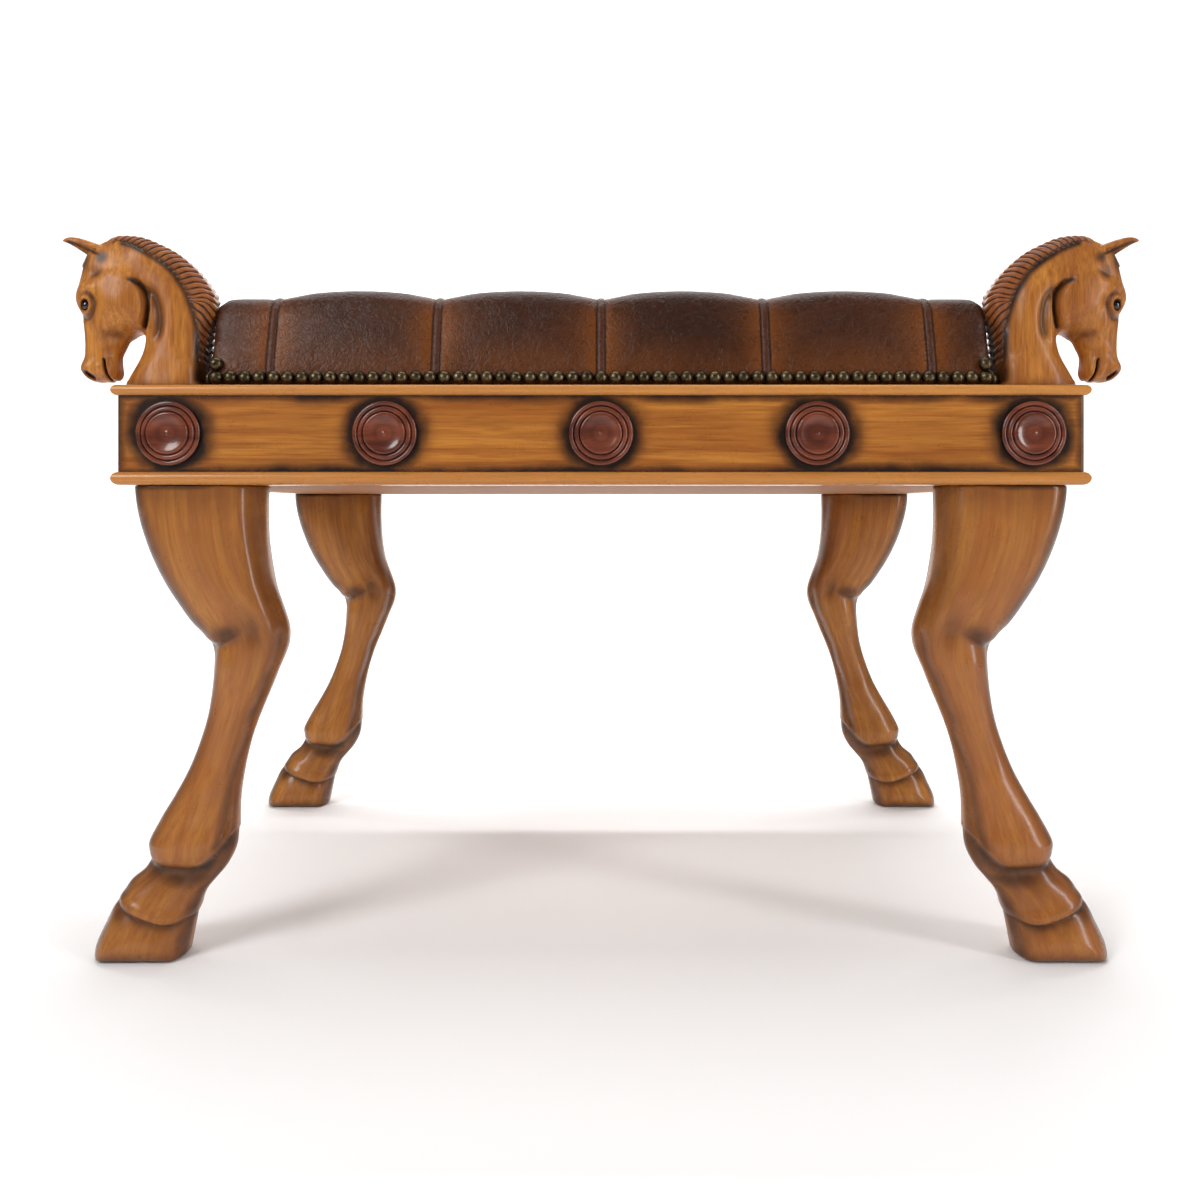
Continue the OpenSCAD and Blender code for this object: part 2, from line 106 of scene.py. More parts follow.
def add_values(piece, name, values):
    """A value for each vertex, which the material reads by its name."""
    layer = piece.data.attributes.new(name, "FLOAT", "POINT")
    layer.data.foreach_set("value", np.asarray(values, np.float32))


def strip_faces(first, rows, around):
    """Quads between neighbouring closed rows of points, which are numbered from first."""
    faces = []
    for row in range(rows - 1):
        for j in range(around):
            a = first + row * around + j
            b = first + row * around + (j + 1) % around
            faces.append((a, a + around, b + around, b))
    return faces


def side_axes(side):
    """Unit vectors of one side of the bench: outward, along it, and up its face."""
    normal = np.array([*OUTWARD[side], 0.0])
    along = np.array([1.0, 0, 0] if side in LONG_SIDES else [0, 1.0, 0])
    return normal, along, np.cross(normal, along)


def mesh_points(mesh):
    found = np.empty(len(mesh.vertices) * 3)
    mesh.vertices.foreach_get("co", found)
    return found.reshape(-1, 3)


def smoothstep(low, high, value):
    """0 below low, 1 above high, and an S curve between."""
    t = np.clip((value - low) / (high - low), 0, 1)
    return t * t * (3 - 2 * t)


def curve_through(points, per_span, closed=False):
    """Catmull-Rom points through a given list."""
    p = np.asarray(points, float)
    padded = np.vstack([p[-1:], p, p[:2]] if closed else [p[:1], p, p[-1:]])
    t = (np.arange(per_span) / per_span)[:, None]
    spans = [
        0.5 * (2 * b + (c - a) * t + (2 * a - 5 * b + 4 * c - d) * t * t
               + (3 * b - a - 3 * c + d) * t ** 3)
        for a, b, c, d in zip(padded, padded[1:], padded[2:], padded[3:])
    ]
    return np.vstack(spans if closed else spans + [p[-1:]])


def nearest_on_line(px, pz, line):
    """Distance to a polyline, length along it, and on which side, for arrays of points."""
    best = np.full(px.shape, 1e9)
    along = np.zeros(px.shape)
    side = np.zeros(px.shape)
    walked = 0.0
    for (ax, az), (bx, bz) in zip(line[:-1], line[1:]):
        dx, dz = bx - ax, bz - az
        length = math.hypot(dx, dz)
        if length < 1e-9:
            continue
        t = np.clip(((px - ax) * dx + (pz - az) * dz) / length ** 2, 0, 1)
        gap = np.hypot(px - ax - t * dx, pz - az - t * dz)
        closer = gap < best
        best = np.where(closer, gap, best)
        along = np.where(closer, walked + t * length, along)
        side = np.where(closer, dx * (pz - az) - dz * (px - ax), side)
        walked += length
    return best, along, np.sign(side), walked


def inside_outline(px, pz, outline):
    """True for the points inside a closed outline."""
    inside = np.zeros(px.shape, bool)
    ax, az = outline[-1]
    for bx, bz in outline:
        crosses = (az > pz) != (bz > pz)
        with np.errstate(divide="ignore", invalid="ignore"):
            at = (bx - ax) * (pz - az) / (bz - az) + ax
        inside ^= crosses & (px < at)
        ax, az = bx, bz
    return inside


def surface_net(field, low, step):
    """Vertices and quads where a sampled field passes zero (negative inside)."""
    inside = field < 0
    shape = np.array(field.shape) - 1
    sums = np.zeros((int(np.prod(shape)), 3))
    counts = np.zeros(len(sums))
    quads = []
    for axis in range(3):
        a = [slice(None)] * 3
        b = [slice(None)] * 3
        a[axis], b[axis] = slice(0, -1), slice(1, None)
        flips = inside[tuple(a)] != inside[tuple(b)]
        at = np.argwhere(flips)
        f0, f1 = field[tuple(a)][flips], field[tuple(b)][flips]
        points = at.astype(float)
        points[:, axis] += f0 / (f0 - f1)
        others = [k for k in range(3) if k != axis]
        corner_ids = []
        good = np.ones(len(at), bool)
        for du, dv in ((-1, -1), (0, -1), (0, 0), (-1, 0)):
            cell = at.copy()
            cell[:, others[0]] += du
            cell[:, others[1]] += dv
            valid = ((cell >= 0) & (cell < shape)).all(axis=1)
            good &= valid
            ids = (cell[:, 0] * shape[1] + cell[:, 1]) * shape[2] + cell[:, 2]
            ids = np.where(valid, ids, 0)
            for k in range(3):
                sums[:, k] += np.bincount(ids[valid], points[valid, k], len(sums))
            counts += np.bincount(ids[valid], minlength=len(sums))
            corner_ids.append(ids)
        quad = np.stack(corner_ids, axis=1)[good]
        outward = (f0 < 0)[good] ^ (axis == 1)
        quads.append(np.where(outward[:, None], quad, quad[:, ::-1]))
    quads = np.concatenate(quads)
    used = counts > 0
    number = np.cumsum(used) - 1
    vertices = sums[used] / counts[used][:, None] * step + low
    return vertices, number[quads]


def edges_of(quads):
    """Each edge once, as pairs of vertex numbers."""
    pairs = np.concatenate([quads[:, [i, (i + 1) % quads.shape[1]]] for i in range(quads.shape[1])])
    pairs.sort(axis=1)
    return np.unique(pairs, axis=0)


def relaxed(vertices, edges, rounds, strength):
    """Laplacian smoothing by the mean of each vertex's neighbours."""
    v = vertices.copy()
    n = len(v)
    degree = np.bincount(edges.ravel(), minlength=n).astype(float)[:, None]
    for _ in range(rounds):
        total = np.zeros_like(v)
        for k in range(3):
            total[:, k] = np.bincount(edges[:, 0], v[edges[:, 1], k], n)
            total[:, k] += np.bincount(edges[:, 1], v[edges[:, 0], k], n)
        v += (total / np.maximum(degree, 1) - v) * strength
    return v


def normals_of(vertices, quads):
    """A unit normal for each vertex."""
    a, b, c, d = (vertices[quads[:, i]] for i in range(4))
    face = np.cross(c - a, d - b)
    out = np.zeros_like(vertices)
    for i in range(4):
        for k in range(3):
            out[:, k] += np.bincount(quads[:, i], face[:, k], len(vertices))
    return out / np.maximum(np.linalg.norm(out, axis=1, keepdims=True), 1e-12)


def hollows(vertices, quads, edges, reach):
    """How far each vertex lies below its smoothed surroundings, in millimetres."""
    soft = relaxed(vertices, edges, reach, 0.6)
    return ((soft - vertices) * normals_of(vertices, quads)).sum(axis=1)


# ------------------------------------------------------------- carved reliefs


def blended(px, pz, marks, spread):
    """A field through listed marks (x, z, value), by Gaussian weights."""
    total = np.zeros(px.shape)
    weight = np.full(px.shape, 1e-12)
    for x, z, value in marks:
        w = np.exp(-((px - x) ** 2 + (pz - z) ** 2) / (2 * spread * spread))
        total += w * value
        weight += w
    return total / weight


def groove(px, pz, points, width, depth, fade=0.25):
    """A carved stroke: depth along a smooth line, fading over a share of it at both ends."""
    gap, along, _, length = nearest_on_line(px, pz, curve_through(points, 8))
    stroke = depth * np.exp(-((gap / width) ** 2))
    if not fade:
        return stroke
    return stroke * smoothstep(0, fade * length, np.minimum(along, length - along))


def lip(px, pz, points, reach, depth, edge):
    """A step: the surface below a line is set back by depth, and comes out again over reach."""
    gap, _, side, _ = nearest_on_line(px, pz, curve_through(points, 8))
    below = np.where(side < 0, gap, -gap)
    return depth * smoothstep(-edge, edge, below) * np.exp(-np.maximum(below, 0) / reach)


def spot(px, pz, x, z, rx, rz, depth, turn=0.0):
    """A soft oval hollow at x, z, turned by some degrees."""
    c, s = math.cos(math.radians(turn)), math.sin(math.radians(turn))
    u, v = (px - x) * c + (pz - z) * s, -(px - x) * s + (pz - z) * c
    return depth * np.exp(-((u / rx) ** 2 + (v / rz) ** 2))


def relief_field(xs, ys, zs, outline, thickness, edge_round, carved, power):
    """A solid seen from its side: the outline, swelled to a half thickness, with carving
    that takes a depth off the surface (negative carving adds)."""
    px, pz = np.meshgrid(xs, zs, indexing="ij")
    gap, _, _, _ = nearest_on_line(px, pz, np.vstack([outline, outline[:1]]))
    depth_in = np.where(inside_outline(px, pz, outline), gap, -gap)
    v = np.maximum(0, 1 - depth_in / edge_round)[:, None, :]
    u = np.abs(ys)[None, :, None] / thickness[:, None, :]
    at_edge = np.minimum(thickness, edge_round)[:, None, :]
    on_face = thickness[:, None, :]
    radius = (u ** power + v ** power) ** (1 / power)
    solid = (radius - 1) * (at_edge + (on_face - at_edge) * smoothstep(0.6, 1.0, u))
    return solid + carved[:, None, :] * (0.2 + 0.8 * smoothstep(0.1, 0.5, u))


# Contours of a leg by height: z, outer and inner contour in the carving's own x, and half
# thickness. The same stations as the CAD leg.
LEG = np.array([
    (-6, -21.5, 48.4, 31), (0, -21.5, 48.4, 31), (12, -20, 50.9, 28.6),
    (28, -13.1, 54.8, 25.4), (39, -8.1, 57.8, 24), (50, -0.5, 62.9, 22.8),
    (59, 5.2, 70.4, 21.4), (68, 15.7, 78.1, 20.6), (80, 21.5, 84.6, 22.2),
    (91, 21.2, 87, 22.6), (107, 28.8, 87.4, 21.2), (124, 38.9, 88.5, 19.4),
    (142, 48.8, 91.5, 18), (161, 56.7, 96.1, 17.4), (182, 63.4, 102.7, 18.2),
    (201, 66.9, 110.6, 19.4), (219, 68.4, 117.8, 20.8), (235, 68.1, 124.5, 21.8),
    (246, 62.9, 127, 22.8), (256, 53.4, 126.4, 24.2), (269, 44.1, 122, 25.6),
    (289, 31.8, 114.5, 27), (313, 20.9, 111, 28), (338, 13.3, 110.3, 28.5),
    (362, 10.1, 110.9, 28.5), (400, 10.1, 110.9, 28.5),
])
# Lines on a leg's side: under the thigh, down its back, down the shank, over the pastern and the hoof
NOTCH = [(62, 243), (67.5, 242.5), (73.5, 241.5), (81, 243), (89, 246.5), (98, 252)]
THIGH_RIDGE = [(92.5, 362), (95.7, 343), (100.2, 321), (104.7, 304), (108.5, 287), (111, 272),
               (113, 260), (113.5, 247)]
SHANK_RIDGE = [(120, 243), (117.7, 235), (114, 227), (108, 215), (103, 206), (97, 194), (94, 183),
               (91, 171), (85, 152), (82.5, 130), (78.3, 111), (75.6, 93)]
SHANK_VALLEY = [(123, 258), (122.5, 250), (120.8, 239), (117.2, 227), (110.8, 213), (105.5, 198),
                (99.8, 186), (95.4, 168), (88.2, 148), (84.5, 133), (82, 115), (79.6, 100), (76, 88),
                (70.5, 80)]
FETLOCK = [(14, 80), (23, 77), (34, 74.3), (46, 73.2), (56, 72.6), (64, 74.8), (71, 80), (80, 90)]
CORONET = [(-10, 50), (-2, 44.5), (5.5, 40.5), (17, 35.5), (27.5, 31.8), (36, 29.8), (43, 29.8),
           (50, 31.8), (56, 33.5), (64, 36)]


def slope(px, pz, line, rate, reach, soft):
    """Right of a line the surface falls away evenly up to a distance, with a soft start."""
    gap, _, side, _ = nearest_on_line(px, pz, curve_through(line, 8))
    right = np.where(side > 0, gap, -gap)
    eased = np.where(right < -soft, 0, np.where(right < soft, (right + soft) ** 2 / (4 * soft), right))
    return rate * np.minimum(eased, reach)


def leg_carving(px, pz):
    """Everything cut into, or raised on, the two sides of a leg."""
    upper = smoothstep(236, 262, pz)
    on_notch = 1 - smoothstep(80, 104, px)
    return (
        slope(px, pz, THIGH_RIDGE, 0.30, 16, 9.0) * upper
        - groove(px, pz, THIGH_RIDGE, 9.0, 1.3, 0.2)
        - groove(px, pz, [(62, 345), (70, 300), (84, 272), (96, 260)], 17, 1.6, 0.25)
        + lip(px, pz, NOTCH, 16, 4.2, 2.6) * on_notch
        + spot(px, pz, 105, 252, 7.5, 12, 2.4)
        - spot(px, pz, 86, 226, 11, 14, 1.4)
        + groove(px, pz, SHANK_VALLEY, 3.2, 3.3, 0.1)
        - groove(px, pz, SHANK_RIDGE, 4.0, 1.6, 0.12)
        - groove(px, pz, [(74, 150), (62, 118), (57, 98)], 7.0, 1.0, 0.3)
        + lip(px, pz, FETLOCK, 24, 4.2, 3.2)
        - groove(px, pz, [(x, z + 9) for x, z in FETLOCK], 8.0, 1.4, 0.15)
        - spot(px, pz, 50, 92, 20, 13, 1.5)
        + lip(px, pz, CORONET, 9.0, 2.9, 1.2)
        - groove(px, pz, [(x + 0.6, z + 5.0) for x, z in CORONET], 4.0, 1.4, 0.0)
        + groove(px, pz, [(66, 72), (60, 60), (57, 50)], 4.5, 1.2, 0.3)
    )


def leg_stain_and_shade(px, py, pz, inset):
    """Dark stain and painted shade on a leg, 0 to 1: stain in the carved lines and round the pastern,
    painted shade under the thigh and the lips, along the edges and at the top.
    """
    # Painted shade beneath a carved lip
    def below(line, reach, edge):
        return np.minimum(1, lip(px, pz, line, reach, 1.2, edge))

    thigh = smoothstep(225, 262, pz)
    foot = 1 - smoothstep(70, 110, pz)
    # Painted shade: the leg darkens towards its edges, over a wider band on the thigh
    reach = 17 + 10 * thigh - 3 * foot
    edges = 1 - smoothstep(0, reach, np.maximum(inset, 0))
    marks = [
        # Painted shade under the overhanging thigh, along the notch and in the hock hollow
        0.75 * groove(px, pz, NOTCH, 4.2, 1.0, 0.0) * (1 - smoothstep(78, 100, px)),
        0.70 * spot(px, pz, 82, 248, 19, 9, 1.0, 14),
        0.48 * spot(px, pz, 103, 253, 10, 19, 1.0, 10),
        0.50 * groove(px, pz, SHANK_VALLEY, 3.6, 1.0, 0.05),
        0.34 * groove(px, pz, [(112, 300), (117, 280), (121, 262), (122, 246)], 4.5, 1.0, 0.3),
        0.30 * groove(px, pz, [(104, 206), (94, 170), (86, 140), (80, 112)], 7.0, 1.0, 0.3),
        # Painted shade under the fetlock's lip
        0.74 * below(FETLOCK, 17.0, 2.6),
        0.70 * spot(px, pz, 50, 64, 30, 11, 1.0, -8),
        # Painted shade under the coronet's roll
        0.76 * below(CORONET, 6.0, 1.6),
        0.60 * spot(px, pz, 2, 38, 12, 11, 1.0),
        0.55 * (1 - smoothstep(0, 16, pz)),
        # Painted shade along the leg's edges
        (0.46 + 0.32 * thigh * (px < 75) + 0.20 * foot) * edges * smoothstep(-4, 8, np.abs(py)),
        # Painted shadow of the moulding and apron across the top of the leg
        0.75 * smoothstep(LEG_TOP - 9, LEG_TOP, pz) * (1 - smoothstep(60, 104, px)),
        0.40 * smoothstep(LEG_TOP - 40, LEG_TOP, pz),
    ]
    return np.clip(np.max(marks, axis=0), 0, 1)


def leg_contours(heights):
    """The leg's outer and inner contour and half thickness at some heights."""
    rows = curve_through(LEG, 6)
    return [np.interp(heights, rows[:, 0], rows[:, k]) for k in (1, 2, 3)]


def carved_leg():
    """One leg in its own x and y, before it is relaxed."""
    step = 1.2
    xs = np.arange(-32, 132, step)
    ys = np.arange(-32, 32 + step, step)
    zs = np.arange(-3 * step, LEG_TOP + 3 * step, step)
    rows = curve_through(LEG, 6)
    outline = np.vstack([rows[:, [1, 0]], rows[::-1][:, [2, 0]]])
    px, pz = np.meshgrid(xs, zs, indexing="ij")
    outer, inner, thick = leg_contours(pz)
    thigh = smoothstep(240, 300, pz)
    shank_round, thigh_round = np.minimum(thick, (inner - outer) / 2) * 0.98, 20
    rounding = shank_round * (1 - thigh) + thigh_round * thigh
    field = relief_field(xs, ys, zs, outline, thick, rounding, leg_carving(px, pz), 2.2)
    z = zs[None, None, :]
    edge = 4.0
    sole = np.sqrt(np.maximum(field + edge, 0) ** 2 + np.maximum(edge - z, 0) ** 2) - edge
    field = np.maximum(np.where(z < edge, sole, field), z - LEG_TOP)
    return surface_net(field, np.array([xs[0], ys[0], zs[0]]), step)


def leg_values(vertices):
    """For each point of a leg: its stain and painted shade, and how far it stands off the leg's middle
    line.
    """
    px, py, pz = vertices.T
    outer, inner, _ = leg_contours(pz)
    stain = leg_stain_and_shade(px, py, pz, np.minimum(px - outer, inner - px))
    # The stain values hold painted shade as well
    return {"stain": stain, "flow": (px - (outer + inner) / 2) * MM}


# The outline of the neck and head: the carving's own x, and z above the deck
HEAD_OUTLINE = [
    (64, -40), (64, -20), (64, 0), (63.8, 7.5), (63.5, 19.4), (64, 33.3), (66, 45.2),
    (69, 55.1), (70.4, 64), (69.7, 71.6), (65.6, 78.4), (58.7, 87.9), (49.9, 96.7), (40, 104.5),
    (27.6, 110.9), (16.4, 115.4), (5.5, 117.1), (-4.9, 116.7), (-13.6, 113.6), (-21.2, 109.2), (-27.7, 103),
    (-30.6, 96), (-32.1, 88.6), (-33.9, 80.9), (-36.1, 74), (-36.7, 68.3), (-35.1, 62.3), (-32.5, 56.6),
    (-31, 49.1), (-30.3, 41.2), (-30.1, 32.8), (-30.5, 24.8), (-32, 18.9), (-32.6, 14.4), (-30.5, 9.9),
    (-26.7, 6.5), (-20.6, 4.8), (-15.4, 5.1), (-9.9, 5.1), (-5.9, 7.7), (-4.4, 12.4), (-4.6, 18.9),
    (-3.9, 24.8), (-1.4, 30.8), (2.4, 36.4), (6.6, 40.3), (11, 42.2), (15, 41.6), (16.9, 38.6),
    (16.4, 33), (14.6, 26.5), (11.4, 19.8), (7.9, 13.4), (4.8, 7.6), (2.4, 2.3), (0.8, -20),
    (0.8, -40),
]
# Half thickness of the head and neck at places in its side view
HEAD_THICK = [
    (33.7, -2.4, 25.5), (8.0, -0.5, 23.5), (61.5, -0.5, 23.5), (35.7, 17.4, 23.5), (35.7, 35.3, 22),
    (19.9, 37.2, 18.5), (58.5, 37.2, 18.5), (37.7, 55.1, 21), (25.8, 59.1, 19.5), (61.5, 57.1, 15),
    (35.7, 73.0, 20), (25.8, 84.9, 19.5), (57.6, 76.9, 13), (47.6, 90.8, 12.5), (31.8, 96.8, 14.5),
    (33.7, 104.7, 11.5), (13.9, 98.8, 18), (9.9, 111.6, 12), (-4.0, 113.6, 12.5), (-4.0, 96.8, 19),
    (-1.0, 65.0, 25), (3.0, 74.9, 24), (-9.9, 76.9, 23.5), (-5.9, 53.1, 22.5), (-21.8, 63.0, 22.8),
    (-27.8, 80.9, 20), (-35.7, 71.0, 18.5), (-33.7, 92.8, 16.5), (-15.9, 102.7, 18), (-19.8, 46.2, 18.5),
    (-5.9, 42.2, 17), (-27.8, 45.2, 16), (-17.8, 31.3, 15), (-28.8, 29.3, 13.5), (-7.9, 29.3, 12.5),
    (-19.8, 15.4, 15.2), (-29.7, 13.4, 13.6), (-9.9, 13.4, 12.4), (-21.8, 6.5, 12),
]
# The mane's inner edge and its crest, both from the forehead down to the deck
MANE_EDGE = [
    (3.5, 111.1), (11.9, 108.2), (19.9, 104.2), (26.8, 100.0), (33.2, 95.8), (41.2, 88.8), (47.1, 80.9),
    (51.1, 74.0), (54.1, 67.5), (57.6, 57.6), (60.0, 48.2), (61.3, 37.2), (61.7, 22), (62.0, 6),
]
MANE_CREST = [
    (-13.9, 115.1), (-4.9, 117.8), (5.5, 117.9), (16.4, 116.1), (28.3, 111.6), (41.2, 104.7), (51.1, 96.8),
    (59.8, 87.8), (66.3, 78.9), (70.2, 72.0), (71.7, 64.0), (69.5, 55.1), (66.0, 45.2), (64.0, 33.3),
    (63.5, 23.4), (63.8, 6),
]
# The mane's tufts: how far apart they are along the crest, and how far they lean for each mm below it
TUFT = 5.6
SWEEP = 0.62
# An ear's middle line from root to tip, and its half width along it
EAR_LINE = [(-8.4, 99.2), (-15.8, 102.7), (-23.8, 106.5), (-31.4, 109.9), (-37.4, 111.7), (-41.6, 111.4)]
EAR_WIDE = [5.6, 6.2, 5.2, 4.0, 2.6, 0.9]
EYE_X, EYE_Z = -23.1, 61.6
# Lines on the head's side
CHEEK_BACK = [(8.0, 80.4), (12.9, 78.4), (16.2, 74.0), (18.5, 68.5), (19.2, 62.5), (18.4, 55.9),
              (16.1, 49.8), (13.1, 45.4), (9.1, 42.4)]
CHEEK_VALLEY = [(7.0, 81.4), (13.9, 79.9), (19.5, 74.9), (22.2, 68.0), (23.0, 61.1), (22.2, 54.1),
                (20.3, 47.7), (18.4, 41.2)]
NECK_LINE = [
    (17.9, 79.4), (23.8, 74.4), (28.8, 67.5), (31.8, 59.1), (32.8, 49.6), (32.0, 39.2), (29.3, 30.3),
]
NECK_RIDGE = [(21.8, 72.0), (25.8, 64.0), (27.0, 53.1), (26.2, 41.2), (22.3, 29.3)]
MOUTH = [(-12.3, 21.9), (-11.7, 16.4), (-10.5, 11.0), (-8.3, 3.0)]
NOSTRIL = [(-28.1, 13.6), (-25.4, 10.7), (-22.4, 8.4), (-19.6, 6.7)]


def head_carving(px, pz):
    """Everything cut into, or raised on, the sides of the head and neck."""
    carved = (
        groove(px, pz, CHEEK_VALLEY, 2.5, 6.6, 0.22)
        + groove(px, pz, NECK_LINE, 3.8, 2.6, 0.25)
        - groove(px, pz, NECK_RIDGE, 2.8, 1.4, 0.2)
        - groove(px, pz, CHEEK_BACK, 3.6, 1.4, 0.2)
        - spot(px, pz, 4.0, 62.0, 12, 15, 1.7)
        + spot(px, pz, -15.4, 85.4, 6.8, 4.8, 2.1, 25)
        - groove(px, pz, [(-31.7, 77.4), (-26.8, 76.9), (-21.3, 74.1), (-15.9, 69.5)], 3.4, 2.1, 0.3)
        + spot(px, pz, -12.9, 63.5, 3.0, 7.5, 1.6, 10)
        + groove(px, pz, [(-28.8, 52.9), (-22.8, 50.9), (-16.8, 53.6)], 2.6, 1.2, 0.3)
        - groove(px, pz, [(-17.8, 53.1), (-13.4, 45.2), (-11.9, 37.2), (-12.9, 29.3)], 3.4, 1.3, 0.3)
        + groove(px, pz, [(-21.3, 49.1), (-20.8, 39.2), (-21.8, 29.3)], 3.8, 1.0, 0.35)
        + groove(px, pz, [(-9.9, 40.7), (-3.0, 38.7), (4.0, 40.2)], 4.0, 1.8, 0.3)
        + groove(px, pz, [(-7.4, 32.3), (-8.4, 26.3), (-7.9, 20.4)], 2.8, 0.9, 0.35)
        + groove(px, pz, MOUTH, 0.85, 3.2, 0.0) * (1 - smoothstep(20.0, 23.5, pz))
        - groove(px, pz, [(-15.4, 19.4), (-14.7, 12.4), (-13.4, 6.5)], 2.4, 1.0, 0.3)
        - spot(px, pz, -7.5, 13.4, 3.2, 7.0, 1.5)
        - spot(px, pz, -28.3, 15.4, 5.0, 5.0, 1.4)
        + groove(px, pz, NOSTRIL, 1.4, 3.4, 0.3)
        - groove(px, pz, [(-27.3, 17.0), (-23.3, 13.0), (-19.3, 10.7)], 1.6, 0.9, 0.3)
        + groove(px, pz, [(-29.7, 23.9), (-23.8, 23.4), (-16.8, 25.3)], 2.8, 0.7, 0.3)
    )
    raised = -1.1 * mane_place(px, pz)[0]
    return carved + eye_carving(px, pz) + raised


def head_values(vertices):
    """For each point of a head: its share of the mane, and its dark stain and painted shade, 0 to 1."""
    px, py, pz = vertices.T
    mane, crest_gap, along, edge = mane_place(px, pz)
    border = np.exp(-((edge + 0.9) / 3.2) ** 2) * smoothstep(4, 14, along)
    ring = np.hypot((px - EYE_X) / 5.2, (pz - EYE_Z) / 6.4)
    marks = [
        mane * (0.82 * (1 - smoothstep(0.12, 0.72, tuft_wave(crest_gap, along, np.abs(py))))
                + 0.25 * smoothstep(0, 7, edge) * (1 - smoothstep(5, 11, edge))),
        0.85 * border,
        # Painted shade in the deep valley behind the cheek
        0.88 * groove(px, pz, CHEEK_VALLEY, 2.2, 1.0, 0.1),
        0.66 * groove(px, pz, NECK_LINE, 4.6, 1.0, 0.2),
        0.70 * spot(px, pz, -14.9, 85.4, 6.0, 4.2, 1.0, 25),
        0.40 * spot(px, pz, -18.0, 90.0, 7.0, 4.5, 1.0, 25),
        # Painted shade round the eye's lids, on their back side only
        0.70 * np.exp(-((ring - 1.45) / 0.38) ** 2) * smoothstep(-34, -22, px + 0.4 * (EYE_Z - pz)),
        0.95 * (1 - smoothstep(0.55, 0.8, ring)),
        # Painted shade under the cheek, where the jaw meets the muzzle
        0.45 * spot(px, pz, -3.0, 40.2, 10, 4.5, 1.0),
        1.00 * groove(px, pz, MOUTH, 1.1, 1.0, 0.0) * (1 - smoothstep(21.5, 24.5, pz)),
        1.00 * groove(px, pz, NOSTRIL, 2.0, 1.0, 0.2),
        0.50 * spot(px, pz, -29.7, 10.5, 5, 5, 1.0),
        0.90 * spot(px, pz, -28.0, 97.0, 6.5, 10.0, 1.0),
        # Painted shade at the ear's root and under its cupped leaf
        0.85 * spot(px, pz, -11.9, 98.0, 4.8, 4.8, 1.0),
        0.80 * groove(px, pz, [(x, z - 1.6) for x, z in EAR_LINE], 1.7, 1.0, 0.12) * (px < -12),
        0.30 * (1 - smoothstep(0, 9, pz)),
        0.50 * smoothstep(48, 66, px) * (1 - smoothstep(45, 60, pz)),
        0.42 * np.exp(-((px + 30 - 0.06 * (pz - 40)) / 4.0) ** 2) * (1 - smoothstep(50, 66, pz)),
    ]
    # The stain values hold painted shade as well
    return {"mane": mane, "stain": np.clip(np.max(marks, axis=0), 0, 1)}


def eye_carving(px, pz):
    """A raised almond ring of lids round the eye's ball."""
    c, s = math.cos(math.radians(-14)), math.sin(math.radians(-14))
    u = ((px - EYE_X) * c + (pz - EYE_Z) * s) / 4.6
    v = (-(px - EYE_X) * s + (pz - EYE_Z) * c) / 5.6
    ring = np.hypot(u, v)
    lids = -2.3 * np.exp(-(((ring - 1.05) / 0.30) ** 2))
    outside = 1.1 * np.exp(-(((ring - 1.75) / 0.35) ** 2))
    bowl = 2.0 * (1 - smoothstep(0.55, 0.85, ring))
    return lids + outside + bowl


def mane_place(px, pz):
    """The mane's share of each point, and where the point lies in it: its distance from the
    crest, its place along the crest, and its distance in from the mane's inner edge."""
    crest = curve_through(MANE_CREST, 8)
    border = curve_through(MANE_EDGE, 8)
    gap, along, _, length = nearest_on_line(px, pz, crest)
    to_border, _, _, _ = nearest_on_line(px, pz, border)
    inside = inside_outline(px, pz, np.vstack([crest, border[::-1]]))
    edge = np.where(inside, to_border, -to_border)
    beyond_crest = ~inside & (gap < to_border)
    band = np.where(beyond_crest, 1.0, smoothstep(-0.9, 0.9, edge))
    ends = smoothstep(0, 9, along) * (1 - smoothstep(length - 22, length - 4, along))
    return band * ends, gap, along, edge


def tuft_wave(crest_gap, along, y):
    """The mane's strands: 1 along the middle of a tuft, 0 in the cut between two."""
    bend = 0.8 * np.sin(crest_gap * 0.35)
    phase = (along + SWEEP * (crest_gap + 0.35 * y) + bend) / TUFT
    return np.abs(np.sin(np.pi * phase))


def carved_head():
    """One neck and head with its ears, before the eye balls are set in."""
    step = 0.72
    xs = np.arange(-58, 76, step)
    ys = np.arange(-30, 30 + step, step)
    zs = np.arange(-3 * step, 124, step)
    px, pz = np.meshgrid(xs, zs, indexing="ij")
    outline = curve_through(HEAD_OUTLINE, 8, closed=True)
    thick = blended(px, pz, HEAD_THICK, 8.0)
    mane, crest_gap, along, _ = mane_place(px, pz)
    neck_root = smoothstep(34, 50, px) * (1 - smoothstep(30, 62, pz))
    rounding = np.clip(0.92 * thick, 7, 24) * (1 - 0.25 * mane) * (1 - 0.4 * neck_root)
    field = relief_field(xs, ys, zs, outline, thick, rounding, head_carving(px, pz), 2.25)
    y = np.abs(ys)[None, :, None]
    wave = tuft_wave(crest_gap[:, None, :], along[:, None, :], y)
    cut = mane[:, None, :] * (0.4 + 0.6 * smoothstep(1, 9, y))
    field = field + cut * 1.7 * (1 - wave) ** 1.1
    field = field + forelock(xs, ys, zs)
    field = np.minimum(field, ears(xs, ys, zs))
    field = np.maximum(field, -zs[None, None, :])
    return surface_net(field, np.array([xs[0], ys[0], zs[0]]), step)


def forelock(xs, ys, zs):
    """Strands of hair that hang between the ears on to the forehead."""
    x, y, z = xs[:, None, None], np.abs(ys)[None, :, None], zs[None, None, :]
    on = smoothstep(88, 94, z) * (1 - smoothstep(104, 110, z)) * (1 - smoothstep(-33, -27, x))
    width = 3.0 + 7.5 * smoothstep(88, 104, z)
    lock = on * (1 - smoothstep(width - 1.0, width + 1.2, y))
    return -lock * (1.9 - 0.9 * np.abs(np.cos(np.pi * (y + 0.04 * z) / 3.4)))


